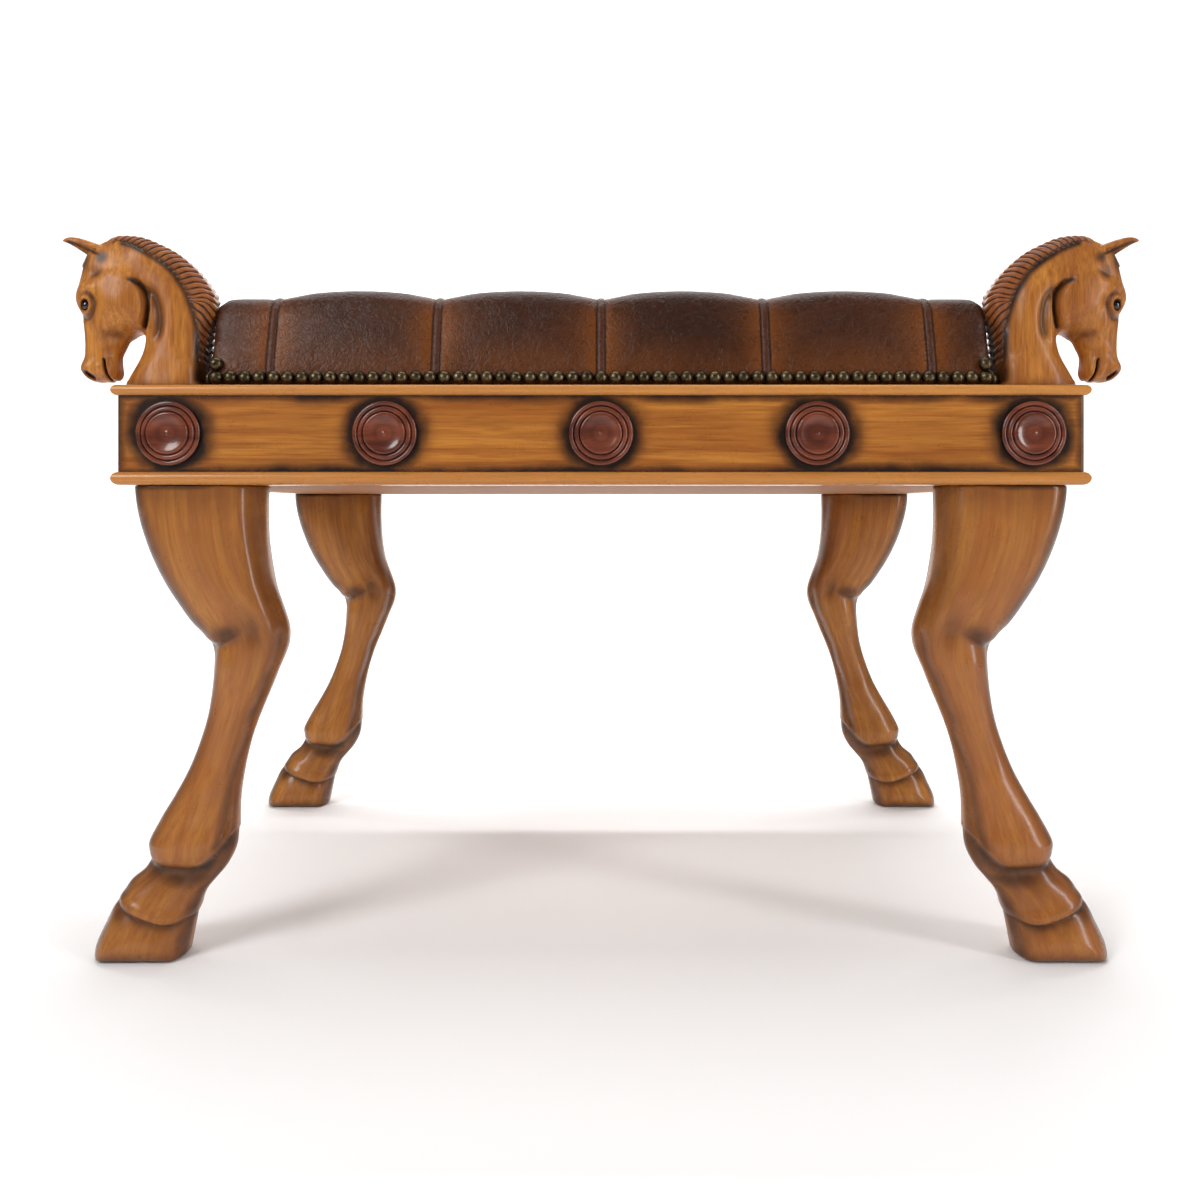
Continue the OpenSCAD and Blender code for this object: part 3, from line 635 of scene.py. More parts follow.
def ears(xs, ys, zs):
    """Both ears: tapering leaves, hollowed on their outer faces."""
    line = curve_through(EAR_LINE, 6)
    shares = np.linspace(0, 1, len(line))
    widths = np.interp(shares, np.linspace(0, 1, len(EAR_WIDE)), EAR_WIDE)
    middles = 10.5 + 4.5 * shares
    flatness, hollow_from, hollow_to = 0.72, 0.04, 0.9
    forward = xs < -6
    x, y, z = xs[forward][:, None, None], np.abs(ys)[None, :, None], zs[None, None, :]
    far = 1e3
    leaf = np.full((forward.sum(), len(ys), len(zs)), far)
    for (cx, cz), width, middle in zip(line, widths, middles):
        ball = np.sqrt((x - cx) ** 2 + (z - cz) ** 2 + ((y - middle) / flatness) ** 2) - width
        leaf = np.minimum(leaf, ball * 0.85)
    for (cx, cz), width, middle, share in zip(line, widths, middles, shares):
        if hollow_from < share < hollow_to:
            ball = np.sqrt((x - cx - 0.8) ** 2 + (z - cz + 2.4) ** 2 + (y - middle - 3.4) ** 2)
            leaf = np.maximum(leaf, width - 2.1 - ball)
    field = np.full((len(xs), len(ys), len(zs)), far)
    field[forward] = leaf
    return field


def at_corner(vertices, quads, a, b, lift):
    """A carving placed at one corner of the frame, and mirrored as that corner needs."""
    across, deep = (-1 if b == "right" else 1), (-1 if a == "back" else 1)
    placed = (vertices - (CARVING_X, CARVING_Y, -lift)) * (across, deep, 1)
    return placed, quads if across == deep else quads[:, ::-1].copy()


def build_carvings(kind, carved, rounds, lift, values_of, wood):
    """A carving made once, relaxed, and placed at the four corners for its CAD nodes. Its
    groove and hollow values say where dark stain gathers, near by and in broad dips."""
    vertices, quads = carved
    edges = edges_of(quads)
    vertices = relaxed(vertices, edges, rounds, 0.5)
    values = {
        "groove": hollows(vertices, quads, edges, 6),
        "hollow": hollows(vertices, quads, edges, 40),
        **values_of(vertices),
    }
    for i, (a, b) in enumerate(CORNERS):
        placed, faces = at_corner(vertices, quads, a, b, lift)
        piece = new_object(f"{kind}_{a}_{b}_carved", placed, faces)
        for name, each in values.items():
            add_values(piece, name, each)
        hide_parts(f"{kind}_{a}_{b}")
        wear(piece, wood(i))


# ----------------------------------------------------------------- upholstery

# How far the long faces lean in, and the top's height above the deck
SEAT_LEAN = 14.0
SEAT_TOP = WELT_HIGH[2] - DECK_Z + 1.0
# How far a panel swells between its welts, and how far the top is crowned from front to back
PUFF = 8.5
CROWN = 5.0


def panel_rise(x):
    """The swelling between neighbouring welts: 0 on a welt, 1 in the middle of a panel."""
    k = np.abs(x) % WELT_GAP / WELT_GAP
    rise = np.sin(np.pi * np.clip((k - 0.035) / 0.93, 0, 1)) ** 0.75
    return np.where(np.abs(x) > 2 * WELT_GAP, 0.0, rise)


def rounded_join(a, b, radius):
    """The corner between two fields, each negative inside, with its edge rounded."""
    a, b = a + radius, b + radius
    return np.hypot(np.maximum(a, 0), np.maximum(b, 0)) + np.minimum(np.maximum(a, b), 0) - radius


def seat_net(start):
    """The seat's skin as an even net of quads, with its panels swollen by a share start."""
    step = 6.0
    xs = np.arange(-SEAT_X - 2 * step, SEAT_X + 2.1 * step, step)
    ys = np.arange(-SEAT_Y - 2 * step, SEAT_Y + 2.1 * step, step)
    zs = np.arange(-2.5 * step, SEAT_TOP + 20, step)
    x, y, z = xs[:, None, None], ys[None, :, None], zs[None, None, :]
    side = np.abs(y) - SEAT_Y - 0.4 + SEAT_LEAN * smoothstep(6, SEAT_TOP, z)
    end = np.abs(x) - SEAT_X - 3.0
    top = z - SEAT_TOP - CROWN * (1 - (y / SEAT_Y) ** 2) - start * PUFF * panel_rise(x)
    corner_r, top_r = 7.0, 14.0
    field = rounded_join(rounded_join(side, end, corner_r), top, top_r)
    field = np.maximum(field, -z - 0.2)
    vertices, quads = surface_net(field, np.array([xs[0], ys[0], zs[0]]), step)
    vertices[:, 2] += DECK_Z
    return vertices, quads


def off_welt(x):
    """Distance from the nearest welt, and that welt's place."""
    welt = np.round(np.clip(x / WELT_GAP, -2, 2)) * WELT_GAP
    return np.abs(x - welt), welt


def held_share(vertices):
    """How firmly each point of the cover is held: at the foot, along the welts, at the ends."""
    x, z = vertices[:, 0], vertices[:, 2] - DECK_Z
    welt = 1 - smoothstep(3.5, 12.0, off_welt(x)[0])
    foot = 1 - smoothstep(13, 26, z)
    end = smoothstep(2 * WELT_GAP, 2 * WELT_GAP + 6, np.abs(x)) * 0.75
    return np.max([welt, foot, end], axis=0)


def inflated_seat():
    """The cover swelled by a cloth simulation with air pressure, held at foot and welts."""
    vertices, quads = seat_net(0.75)
    mesh = bpy.data.meshes.new("seat_trial")
    mesh.from_pydata((vertices * MM).tolist(), [], quads.tolist())
    trial = bpy.data.objects.new("seat_trial", mesh)
    bpy.context.scene.collection.objects.link(trial)
    held = held_share(vertices)
    group = trial.vertex_groups.new(name="held")
    for i, share in enumerate(held):
        group.add([i], float(share), "REPLACE")
    cloth = trial.modifiers.new("cloth", "CLOTH")
    hide = cloth.settings
    hide.quality, hide.mass = 6, 0.25
    hide.tension_stiffness, hide.compression_stiffness, hide.shear_stiffness = 12, 12, 6
    hide.bending_stiffness = 2.0
    hide.use_pressure, hide.uniform_pressure_force = True, 4.0
    hide.vertex_group_mass = "held"
    hide.pin_stiffness = 30
    hide.effector_weights.gravity = 0
    cloth.collision_settings.use_collision = False
    scene = bpy.context.scene
    last_moment = 20
    cloth.point_cache.frame_start, cloth.point_cache.frame_end = 1, last_moment
    for moment in range(1, last_moment + 1):
        scene.frame_set(moment)
    deps = bpy.context.evaluated_depsgraph_get()
    swelled = mesh_points(trial.evaluated_get(deps).to_mesh()) / MM
    scene.frame_set(1)
    bpy.data.objects.remove(trial)
    return vertices + settled_move(swelled - vertices, quads, held), quads


def settled_move(move, quads, held):
    """The simulated move, capped, evened out, and brought to the rise that the photo shows."""
    cap, rise, most_gain = 9.0, PUFF * 0.65, 1.6
    length = np.linalg.norm(move, axis=1, keepdims=True)
    move = move * np.minimum(1, cap / np.maximum(length, 1e-6))
    move = relaxed(move, edges_of(quads), 3, 0.5)
    peak = np.percentile(move[held < 0.1, 2], 90)
    return move * min(most_gain, rise / max(peak, 0.5))


def seat_cover():
    """The swelled cover, subdivided once, with puckers beside the welts and a valley under them."""
    vertices, quads = inflated_seat()
    piece = new_object("seat_cover_leather", vertices, quads)
    finer = piece.modifiers.new("finer", "SUBSURF")
    finer.levels = finer.render_levels = 1
    deps = bpy.context.evaluated_depsgraph_get()
    fine = bpy.data.meshes.new_from_object(piece.evaluated_get(deps))
    piece.modifiers.clear()
    piece.data = fine
    v = mesh_points(fine) / MM
    x, y, z = v[:, 0], v[:, 1], v[:, 2] - DECK_Z
    off, welt = off_welt(x)
    round_way = np.abs(y) + z
    pucker = np.sin(round_way / 9.0 + 1.7 * np.sin(welt)) * np.sin(round_way / 23.0 + welt)
    dent = 0.5 * pucker * np.exp(-off / 13.0) * smoothstep(3.0, 7.0, off)
    valley = 1.0 * np.exp(-((off / 4.6) ** 2))
    normals = np.empty(len(v) * 3)
    fine.vertices.foreach_get("normal", normals)
    up = smoothstep(6, 14, z)[:, None]
    v = v - normals.reshape(-1, 3) * (dent + valley)[:, None] * up
    fine.vertices.foreach_set("co", (v * MM).ravel())
    fine.update()
    worn = np.exp(-off / 20.0) * (1 - 0.4 * smoothstep(50, 70, z))
    add_values(piece, "worn", smoothstep(0, 1, worn))
    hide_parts("seat_cover", "seat_foam")
    return piece


def welt_line(tree, x):
    """Points over the cover at one x, from the front foot to the back foot, with normals."""
    found = []
    middle = Vector((x * MM, 0, (DECK_Z - 40) * MM))
    for angle in np.linspace(8, 172, 240):
        way = Vector((0, -math.cos(math.radians(angle)), math.sin(math.radians(angle))))
        hit, normal, _, _ = tree.ray_cast(middle + way * 0.6, -way)
        if hit is not None and hit.z > (DECK_Z + 7) * MM:
            found.append((np.array(hit) / MM, np.array(normal)))
    points = np.array([f[0] for f in found])
    normals = np.array([f[1] for f in found])
    along = np.concatenate([[0], np.cumsum(np.linalg.norm(np.diff(points, axis=0), axis=1))])
    even = np.arange(0, along[-1], 2.5)
    points, normals = (
        np.stack([np.interp(even, along, rows[:, k]) for k in range(3)], axis=1)
        for rows in (points, normals)
    )
    for _ in range(6):
        for rows in (points, normals):
            rows[1:-1] = (rows[:-2] + rows[2:] + 2 * rows[1:-1]) / 4
    normals[:, 0] = 0
    return points, normals / np.linalg.norm(normals, axis=1, keepdims=True)


# A welt's section: across it, and up from the cover
WELT_SECTION = [(-3.3, -2.2), (-3.35, 0.1), (-2.9, 0.9), (-2.1, 1.5), (-1.1, 1.85), (0, 1.95),
                (1.1, 1.85), (2.1, 1.5), (2.9, 0.9), (3.35, 0.1), (3.3, -2.2)]


def seat_welts(cover):
    """Flat bands over the seams, each a swept strip with rounded edges."""
    tree = BVHTree.FromObject(cover, bpy.context.evaluated_depsgraph_get())
    vertices, faces, edge = [], [], []
    for k in range(-2, 3):
        points, normals = welt_line(tree, k * WELT_GAP)
        first = len(vertices)
        m = len(WELT_SECTION)
        for p, n in zip(points, normals):
            for across, up in WELT_SECTION:
                vertices.append(p + n * up + np.array([across, 0, 0]))
                edge.append(1.0 if abs(across) > 2.9 else 0.0)
        faces += strip_faces(first, len(points), m)
        faces.append(tuple(range(first, first + m)))
        faces.append(tuple(reversed(range(len(vertices) - m, len(vertices)))))
    piece = new_object("seat_welt_bands", vertices, faces)
    add_values(piece, "groove", edge)
    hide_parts("seat_welts")
    return piece


def dome(radius, height):
    """A nail's head standing on the XY plane: a dome with a small turned-in rim."""
    rings, around = 6, 24
    steps = np.linspace(0, math.pi / 2, rings + 1)[1:]
    profile = [(radius * math.sin(a), height * math.cos(a)) for a in steps]
    profile += [(radius * 0.93, -0.25)]
    vertices = [(0, 0, height)]
    for r, z in profile:
        vertices += [(r * math.cos(t), r * math.sin(t), z)
                     for t in np.linspace(0, 2 * math.pi, around, False)]
    faces = [(0, 1 + j, 1 + (j + 1) % around) for j in range(around)]
    faces += strip_faces(1, len(profile), around)
    faces.append(tuple(reversed(range(len(vertices) - around, len(vertices)))))
    return np.array(vertices, float), faces


NAIL_COUNT = {"front": 55, "back": 55, "left": 45, "right": 45}
NAIL_R = 5.25


def nail_row(side, seed):
    """The nails along one side of the seat, each turned and tipped a little. A long side
    has one more nail above each end of its row."""
    low, high = box_mm("nails_" + side)
    normal, along, up = side_axes(side)
    long_side = side in LONG_SIDES
    axis = 0 if long_side else 1
    shift = 1.5 if long_side else 0.0
    first, last = low[axis] + NAIL_R - shift, high[axis] - NAIL_R + shift
    z = low[2] + NAIL_R + 0.8
    spots = [(t, z) for t in np.linspace(first, last, NAIL_COUNT[side])]
    if long_side:
        spots += [(first, z + 2 * NAIL_R + 0.1), (last, z + 2 * NAIL_R + 0.1)]
    face = {"front": high[1], "back": low[1], "left": high[0], "right": low[0]}[side]
    lift = 0.4 if long_side else 2.6
    base, base_faces = dome(NAIL_R + 0.2, 5.0)
    draw = np.random.default_rng(seed)
    vertices, faces = [], []
    for t, height in spots:
        tip, turn = draw.normal(0, 0.035, 2), draw.normal(0, 0.06)
        p = base.copy()
        p[:, 2] += tip[0] * p[:, 0] + tip[1] * p[:, 1]
        p[:, :2] *= 1 + 0.03 * turn
        centre = np.zeros(3)
        centre[axis], centre[1 - axis] = t, face + lift * OUTWARD[side][1 - axis]
        centre[2] = height + draw.normal(0, 0.12)
        count = len(vertices)
        vertices += list(centre + p[:, :1] * along + p[:, 1:2] * up + p[:, 2:] * normal)
        faces += [tuple(i + count for i in f) for f in base_faces]
    piece = new_object(f"nails_{side}_heads", vertices, faces)
    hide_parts("nails_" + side)
    return piece


# ------------------------------------------------------------------- roundels


def arc(x, y, r, start, end, n):
    """Points of an arc round x, y, from one angle to another, in degrees."""
    angles = np.radians(np.linspace(start, end, n + 1))
    return [(x + r * math.cos(a), y + r * math.sin(a)) for a in angles]


def roundel_profile():
    """Radius and height of a turned roundel, from its edge to its middle."""
    r = ROUNDEL_R
    return (
        [(r - 1.2, 0), (r - 0.3, 0.35)]
        + arc(r - 2.0, 1.3, 1.95, -10, 165, 12)
        + [(r - 4.15, 1.45)]
        + arc(r - 6.3, 2.1, 2.0, 15, 165, 12)
        + [(r - 8.35, 2.3), (r - 8.5, 3.4)]
        + arc(r - 10.3, 3.7, 1.8, 0, 95, 8)
        + [(r - 11.6, 5.35), (r - 12.6, 4.95), (r - 15, 4.35), (r - 18, 3.9), (r - 21, 3.7),
           (2.0, 3.72), (1.0, 4.0), (0.4, 4.3)]
    )


def roundels(side):
    """The turned roundels on one side of the apron, with dark stain in their grooves."""
    profile = np.array(roundel_profile())
    radii, heights = profile.T
    around = 96
    normal, along, up = side_axes(side)
    face = APRON_Y if side in LONG_SIDES else APRON_X
    each_way = 2 if side in LONG_SIDES else 1
    soft = np.convolve(np.pad(heights, 3, "edge"), np.ones(7) / 7, "valid")
    in_grooves = np.clip((soft - heights) * 1.3, 0, 1) * smoothstep(4, 8, radii)
    stain = in_grooves + 0.9 * smoothstep(ROUNDEL_R - 0.8, ROUNDEL_R, radii)
    vertices, faces, dark = [], [], []
    for place in range(-each_way, each_way + 1):
        centre = normal * face + along * place * ROUNDEL_GAP + np.array([0, 0, ROUNDEL_Z])
        first = len(vertices)
        for (r, h), share in zip(profile, stain):
            vertices += [centre + along * r * math.cos(t) + up * r * math.sin(t) + normal * h
                         for t in np.linspace(0, 2 * math.pi, around, False)]
            dark += [min(1.0, share)] * around
        tip = len(vertices)
        vertices.append(centre + normal * (heights[-1] + 0.05))
        dark.append(0.0)
        faces += [(a, d, c, b) for a, b, c, d in strip_faces(first, len(profile), around)]
        last = tip - around
        faces += [(last + j, last + (j + 1) % around, tip) for j in range(around)]
        faces.append(tuple(reversed(range(first, first + around))))
    piece = new_object(f"roundels_{side}_turned", vertices, faces)
    add_values(piece, "groove", dark)
    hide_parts("roundels_" + side)
    return piece


# ------------------------------------------------------------------ materials


def linear(r, g, b):
    """A colour given as 0 to 255 display values, as the shader's own."""
    def one(c):
        c /= 255
        return c / 12.92 if c <= 0.04045 else ((c + 0.055) / 1.055) ** 2.4
    return (one(r), one(g), one(b), 1.0)


class Surface:
    """A node material with one Principled shader, and short ways to add to it."""

    def __init__(self, name):
        self.material = bpy.data.materials.new(name)
        self.material.use_nodes = True
        self.tree = self.material.node_tree
        self.tree.nodes.clear()
        self.shader = self.tree.nodes.new("ShaderNodeBsdfPrincipled")
        out = self.tree.nodes.new("ShaderNodeOutputMaterial")
        self.tree.links.new(self.shader.outputs["BSDF"], out.inputs["Surface"])
        self.coords = self.tree.nodes.new("ShaderNodeTexCoord").outputs["Object"]

    def give(self, socket, value):
        if isinstance(value, bpy.types.NodeSocket):
            self.tree.links.new(value, socket)
        else:
            socket.default_value = value

    def node(self, kind, inputs=None, out=0, **settings):
        made = self.tree.nodes.new(kind)
        for key, value in settings.items():
            setattr(made, key, value)
        for key, value in (inputs or {}).items():
            self.give(made.inputs[key], value)
        return made.outputs[out]

    def math(self, operation, a, b=0.0, clamp=False):
        return self.node("ShaderNodeMath", {0: a, 1: b}, operation=operation, use_clamp=clamp)

    def times(self, a, b, clamp=False):
        return self.math("MULTIPLY", a, b, clamp)

    def larger(self, a, b):
        return self.math("MAXIMUM", a, b)

    def less(self, a, b):
        return self.math("SUBTRACT", a, b)

    def size(self, a):
        return self.math("ABSOLUTE", a)

    def scaled(self, value, gain, base):
        return self.node("ShaderNodeMath", {0: value, 1: gain, 2: base}, operation="MULTIPLY_ADD")

    def step(self, value, low, high):
        return self.node("ShaderNodeMapRange", {0: value, 1: low, 2: high, 3: 0.0, 4: 1.0},
                         interpolation_type="SMOOTHSTEP")

    def stretched(self, scale, turn=(0, 0, 0), shift=(0, 0, 0)):
        return self.node("ShaderNodeMapping", {"Vector": self.coords, "Scale": scale, "Rotation": turn,
                                               "Location": shift})

    def noise(self, vector, scale, detail=4.0, rough=0.5, distortion=0.0):
        return self.node("ShaderNodeTexNoise", {"Vector": vector, "Scale": scale, "Detail": detail,
                                                "Roughness": rough, "Distortion": distortion})

    def mix(self, share, a, b):
        made = self.tree.nodes.new("ShaderNodeMix")
        made.data_type = "RGBA"
        self.give(made.inputs[0], share)
        self.give(made.inputs[6], a)
        self.give(made.inputs[7], b)
        return made.outputs[2]

    def attribute(self, name):
        return self.node("ShaderNodeAttribute", out=2, attribute_name=name)

    def axis(self, k):
        return self.node("ShaderNodeSeparateXYZ", {0: self.coords}, out=k)

    def bump(self, height, strength, distance, below=None):
        inputs = {"Height": height, "Strength": strength, "Distance": distance}
        if below is not None:
            inputs["Normal"] = below
        return self.node("ShaderNodeBump", inputs)

    def set(self, **values):
        for key, value in values.items():
            self.give(self.shader.inputs[key.replace("_", " ")], value)
        return self.material


# Colours of the wood, and of the dark glaze rubbed into it, which also paints shade on the carvings
WOOD_LIGHT, WOOD_MID, WOOD_DARK = linear(194, 128, 52), linear(150, 86, 32), linear(96, 48, 18)
WOOD_RED, GLAZE_AND_SHADE = linear(140, 60, 22), linear(30, 15, 6)
# A grain along each axis: noise is 22 times finer across it
GRAIN = {"x": (1.0, 22.0, 22.0), "y": (22.0, 1.0, 22.0), "z": (22.0, 22.0, 1.0)}


def wood_figure(s, along):
    """Colour, fibres and broad patches of wood, in a space that is stretched along its grain."""
    broad = s.noise(along, 1.6, 4.0, 0.55, 0.25)
    streak = s.noise(along, 7.0, 5.0, 0.62, 0.15)
    fibre = s.noise(along, 30.0, 4.0, 0.6)
    rings = s.math("SINE", s.times(broad, 60.0))
    cloud = s.noise(s.coords, 6.0, 3.0, 0.55)
    patch = s.noise(s.node("ShaderNodeVectorMath", {0: along, 1: (0.3, 0.3, 0.3)}, operation="MULTIPLY"),
                    2.2, 3.0, 0.55)
    colour = s.mix(s.step(streak, 0.30, 0.70), WOOD_MID, WOOD_LIGHT)
    colour = s.mix(s.times(s.step(broad, 0.38, 0.66), 0.55), colour, WOOD_MID)
    colour = s.mix(s.times(s.step(rings, 0.30, 1.0), 0.16), colour, WOOD_DARK)
    colour = s.mix(s.times(s.step(patch, 0.50, 0.72), 0.5), colour, WOOD_RED)
    colour = s.mix(s.times(s.step(cloud, 0.45, 0.75), 0.22), colour, WOOD_DARK)
    colour = s.mix(s.times(s.step(fibre, 0.46, 0.66), 0.34), colour, WOOD_DARK)
    return colour, fibre, patch


def lacquer(s, colour, fibre, dark, rough, coat=0.16):
    """Finishes a wood: dark glaze over the colour, with painted shade on the carvings, and a satin coat
    with fine grain under it.
    """
    cloudy = s.noise(s.coords, 55.0, 4.0, 0.6)
    uneven = s.scaled(cloudy, 0.9, 0.55)
    share = s.times(dark, uneven, clamp=True)
    brown = s.mix(s.step(share, 0.0, 0.6), colour, linear(98, 54, 22))
    colour = s.mix(s.step(share, 0.30, 1.0), s.mix(0.7, colour, brown), GLAZE_AND_SHADE)
    roughness = s.scaled(cloudy, 0.14, rough - 0.06)
    return s.set(
        Base_Color=colour, Roughness=roughness, Specular_IOR_Level=0.27, Coat_Weight=coat,
        Coat_Roughness=0.12, Normal=s.bump(fibre, 0.08, 0.0003),
    )


def stain_and_shade(s):
    """Stain and painted shade of a carving: painted marks, partly stain and partly painted shade, and what
    gathers in its hollows.
    """
    groove = s.step(s.attribute("groove"), 0.02, 0.40)
    hollow = s.step(s.attribute("hollow"), 0.25, 1.30)
    dark = s.larger(s.times(groove, 0.6), s.times(hollow, 0.5))
    return s.larger(dark, s.attribute("stain"))


def leg_wood(i):
    """A leg's wood, with its grain following the leg."""
    s = Surface(f"leg_wood_{i}")
    flow = s.node("ShaderNodeCombineXYZ", {0: s.attribute("flow"), 1: s.axis(1), 2: s.axis(2)})
    shift = (0.31 * i, 0.17 * i, 0.4)
    along = s.node("ShaderNodeMapping", {"Vector": flow, "Scale": GRAIN["z"], "Location": shift})
    colour, fibre, _ = wood_figure(s, along)
    colour = s.mix(0.30, colour, linear(150, 104, 58))
    return lacquer(s, colour, fibre, stain_and_shade(s), 0.28)


def head_wood(i):
    """A head's wood, with a redder, darker mane."""
    s = Surface(f"head_wood_{i}")
    along = s.stretched(GRAIN["z"], turn=(0, 0.12, 0), shift=(0.23 * i, 0.4 * i, 0.1))
    colour, fibre, _ = wood_figure(s, along)
    colour = s.mix(s.times(s.attribute("mane"), 0.55), colour, linear(128, 62, 32))
    return lacquer(s, colour, fibre, stain_and_shade(s), 0.40, 0.06)


def near_multiples(s, value, gap):
    """Distance from a coordinate to the nearest whole multiple of a gap."""
    share = s.math("FRACT", s.math("ADD", s.math("DIVIDE", value, gap), 0.5))
    return s.times(s.less(share, 0.5), gap)


def apron_wood(side):
    """An apron's wood, antiqued along its edges and round the roundels."""
    s = Surface("apron_wood_" + side)
    grain = "x" if side in LONG_SIDES else "y"
    shift = (0.3 * SIDES.index(side), 0, 0.7)
    colour, fibre, _ = wood_figure(s, s.stretched(GRAIN[grain], shift=shift))
    along, z = s.axis(0 if grain == "x" else 1), s.axis(2)
    aside = near_multiples(s, along, ROUNDEL_GAP * MM)
    rise = s.less(z, ROUNDEL_Z * MM)
    reach = s.math("SQRT", s.math("ADD", s.times(aside, aside), s.times(rise, rise)))
    wobble = s.times(s.less(s.noise(s.coords, 35.0, 2.0), 0.5), 0.012)
    reach = s.math("ADD", reach, wobble)
    halo = s.less(1.0, s.step(reach, (ROUNDEL_R - 7) * MM, (ROUNDEL_R + 25) * MM))
    halo = s.math("POWER", halo, 1.5)
    half = (APRON_HIGH[2] - APRON_LOW[2]) / 2 * MM
    middle = (APRON_HIGH[2] + APRON_LOW[2]) / 2 * MM
    from_middle = s.size(s.less(z, middle))
    drift = s.times(s.less(s.noise(s.coords, 12.0, 3.0), 0.5), 0.014)
    seam = s.step(s.math("ADD", from_middle, drift), half - 0.013, half + 0.003)
    seam = s.math("POWER", seam, 1.3)
    reach_end = (APRON_X if grain == "x" else APRON_Y) * MM
    end = s.step(s.size(along), reach_end - 0.016, reach_end + 0.002)
    dark = s.larger(s.times(halo, 1.25), s.times(seam, 1.0))
    dark = s.larger(dark, s.times(end, 0.8))
    return lacquer(s, colour, fibre, dark, 0.28)


def moulding_wood(name, grain, low, high):
    """A moulding's wood: a little lighter, with dark rubbed along its two edges."""
    s = Surface(name)
    colour, fibre, _ = wood_figure(s, s.stretched(GRAIN[grain], shift=(0.2, 0.5, 0.1)))
    colour = s.mix(0.45, colour, linear(206, 142, 74))
    z = s.axis(2)
    flat = s.step(s.size(s.less(z, (low + high) / 2 * MM)),
                  (high - low) / 2 * MM * 0.72, (high - low) / 2 * MM)
    return lacquer(s, colour, fibre, s.times(flat, 0.18), 0.27)


def panel_wood():
    """The bottom panel's dull, greyer wood."""
    s = Surface("bottom_panel_wood")
    colour, fibre, patch = wood_figure(s, s.stretched(GRAIN["x"], shift=(0.4, 0.9, 0.3)))
    colour = s.mix(0.4, colour, linear(110, 70, 44))
    return lacquer(s, colour, fibre, s.times(patch, 0.1), 0.6, 0.0)


def bare_wood(name, grain):
    """Unfinished softwood or plywood inside the frame."""
    s = Surface(name)
    along = s.stretched(GRAIN[grain])
    broad = s.noise(along, 2.0, 3.0, 0.5, 0.3)
    fibre = s.noise(along, 40.0, 3.0, 0.6)
    colour = s.mix(s.step(broad, 0.3, 0.7), linear(196, 158, 108), linear(222, 190, 140))
    colour = s.mix(s.times(s.step(fibre, 0.5, 0.75), 0.3), colour, linear(150, 112, 70))
    roughness = s.step(fibre, -0.6, 1.2)
    return s.set(Base_Color=colour, Roughness=roughness, Normal=s.bump(fibre, 0.2, 0.0006))


def mahogany():
    """Turned roundels: deep red-brown under a gloss lacquer, almost black in the grooves."""
    s = Surface("mahogany_gloss")
    along = s.stretched((5, 5, 24))
    broad = s.noise(along, 3.0, 3.0, 0.55, 0.5)
    fibre = s.noise(s.stretched((30, 30, 300)), 3.0, 3.0)
    colour = s.mix(s.step(broad, 0.3, 0.7), linear(76, 31, 18), linear(118, 58, 36))
    colour = s.mix(s.times(s.step(fibre, 0.5, 0.75), 0.35), colour, linear(60, 22, 12))
    colour = s.mix(s.step(s.attribute("groove"), 0.05, 0.8), colour, linear(18, 8, 5))
    roughness = s.scaled(broad, 0.12, 0.17)
    return s.set(Base_Color=colour, Roughness=roughness, Specular_IOR_Level=0.32, Coat_Weight=0.3,
                 Coat_Roughness=0.06, Normal=s.bump(fibre, 0.06, 0.0004))


def leather(name, welt=False):
    """Dark brown hide: fine wrinkled grain, tan where it is stretched and rubbed."""
    s = Surface(name)
    cloud = s.noise(s.coords, 10.0, 4.0, 0.55)
    wander = s.node("ShaderNodeTexNoise", {"Vector": s.coords, "Scale": 60.0, "Detail": 3.0}, out=1)
    bent = s.node("ShaderNodeVectorMath", {0: s.coords, 1: s.node(
        "ShaderNodeVectorMath", {0: wander, "Scale": 0.012}, operation="SCALE")}, operation="ADD")
    pebble = s.node("ShaderNodeTexVoronoi", {"Vector": bent, "Scale": 380.0, "Smoothness": 0.4},
                    feature="SMOOTH_F1")
    wrinkle = s.noise(bent, 240.0, 3.0, 0.55, 1.6)
    fold = s.noise(s.stretched((1.0, 0.8, 0.7)), 70.0, 3.0, 0.5, 1.0)
    dark, mid, tan = linear(44, 22, 13), linear(62, 32, 17), linear(112, 59, 15)
    colour = s.mix(s.step(cloud, 0.25, 0.62), dark, mid)
    if welt:
        colour = s.mix(0.5, colour, linear(84, 46, 28))
        colour = s.mix(s.times(s.attribute("groove"), 0.75), colour, linear(16, 8, 6))
    else:
        z = s.axis(2)
        low = s.less(1.0, s.step(z, (DECK_Z + 8) * MM, (DECK_Z + 50) * MM))
        worn = s.larger(s.times(s.attribute("worn"), 1.15), s.times(low, 0.5))
        worn = s.times(worn, s.math("ADD", cloud, 0.35), clamp=True)
        colour = s.mix(worn, colour, tan)
        nearest = near_multiples(s, s.axis(0), WELT_GAP * MM)
        seam = s.less(1.0, s.step(s.size(nearest), 0.0032, 0.0048))
        inside = s.math("LESS_THAN", s.size(s.axis(0)), 2.3 * WELT_GAP * MM)
        colour = s.mix(s.times(s.times(seam, inside), 0.85), colour, linear(14, 7, 5))
    low_spots = s.less(1.0, s.step(wrinkle, 0.34, 0.5))
    colour = s.mix(s.times(low_spots, 0.35), colour, linear(22, 11, 7))
    roughness = s.scaled(cloud, 0.16, 0.26)
    below = s.bump(fold, 0.32, 0.0016)
    below = s.bump(wrinkle, 0.65, 0.0010, below)
    return s.set(Base_Color=colour, Roughness=roughness, Specular_IOR_Level=0.19, Coat_Weight=0.03,
                 Coat_Roughness=0.25, Normal=s.bump(pebble, 0.30, 0.0004, below))


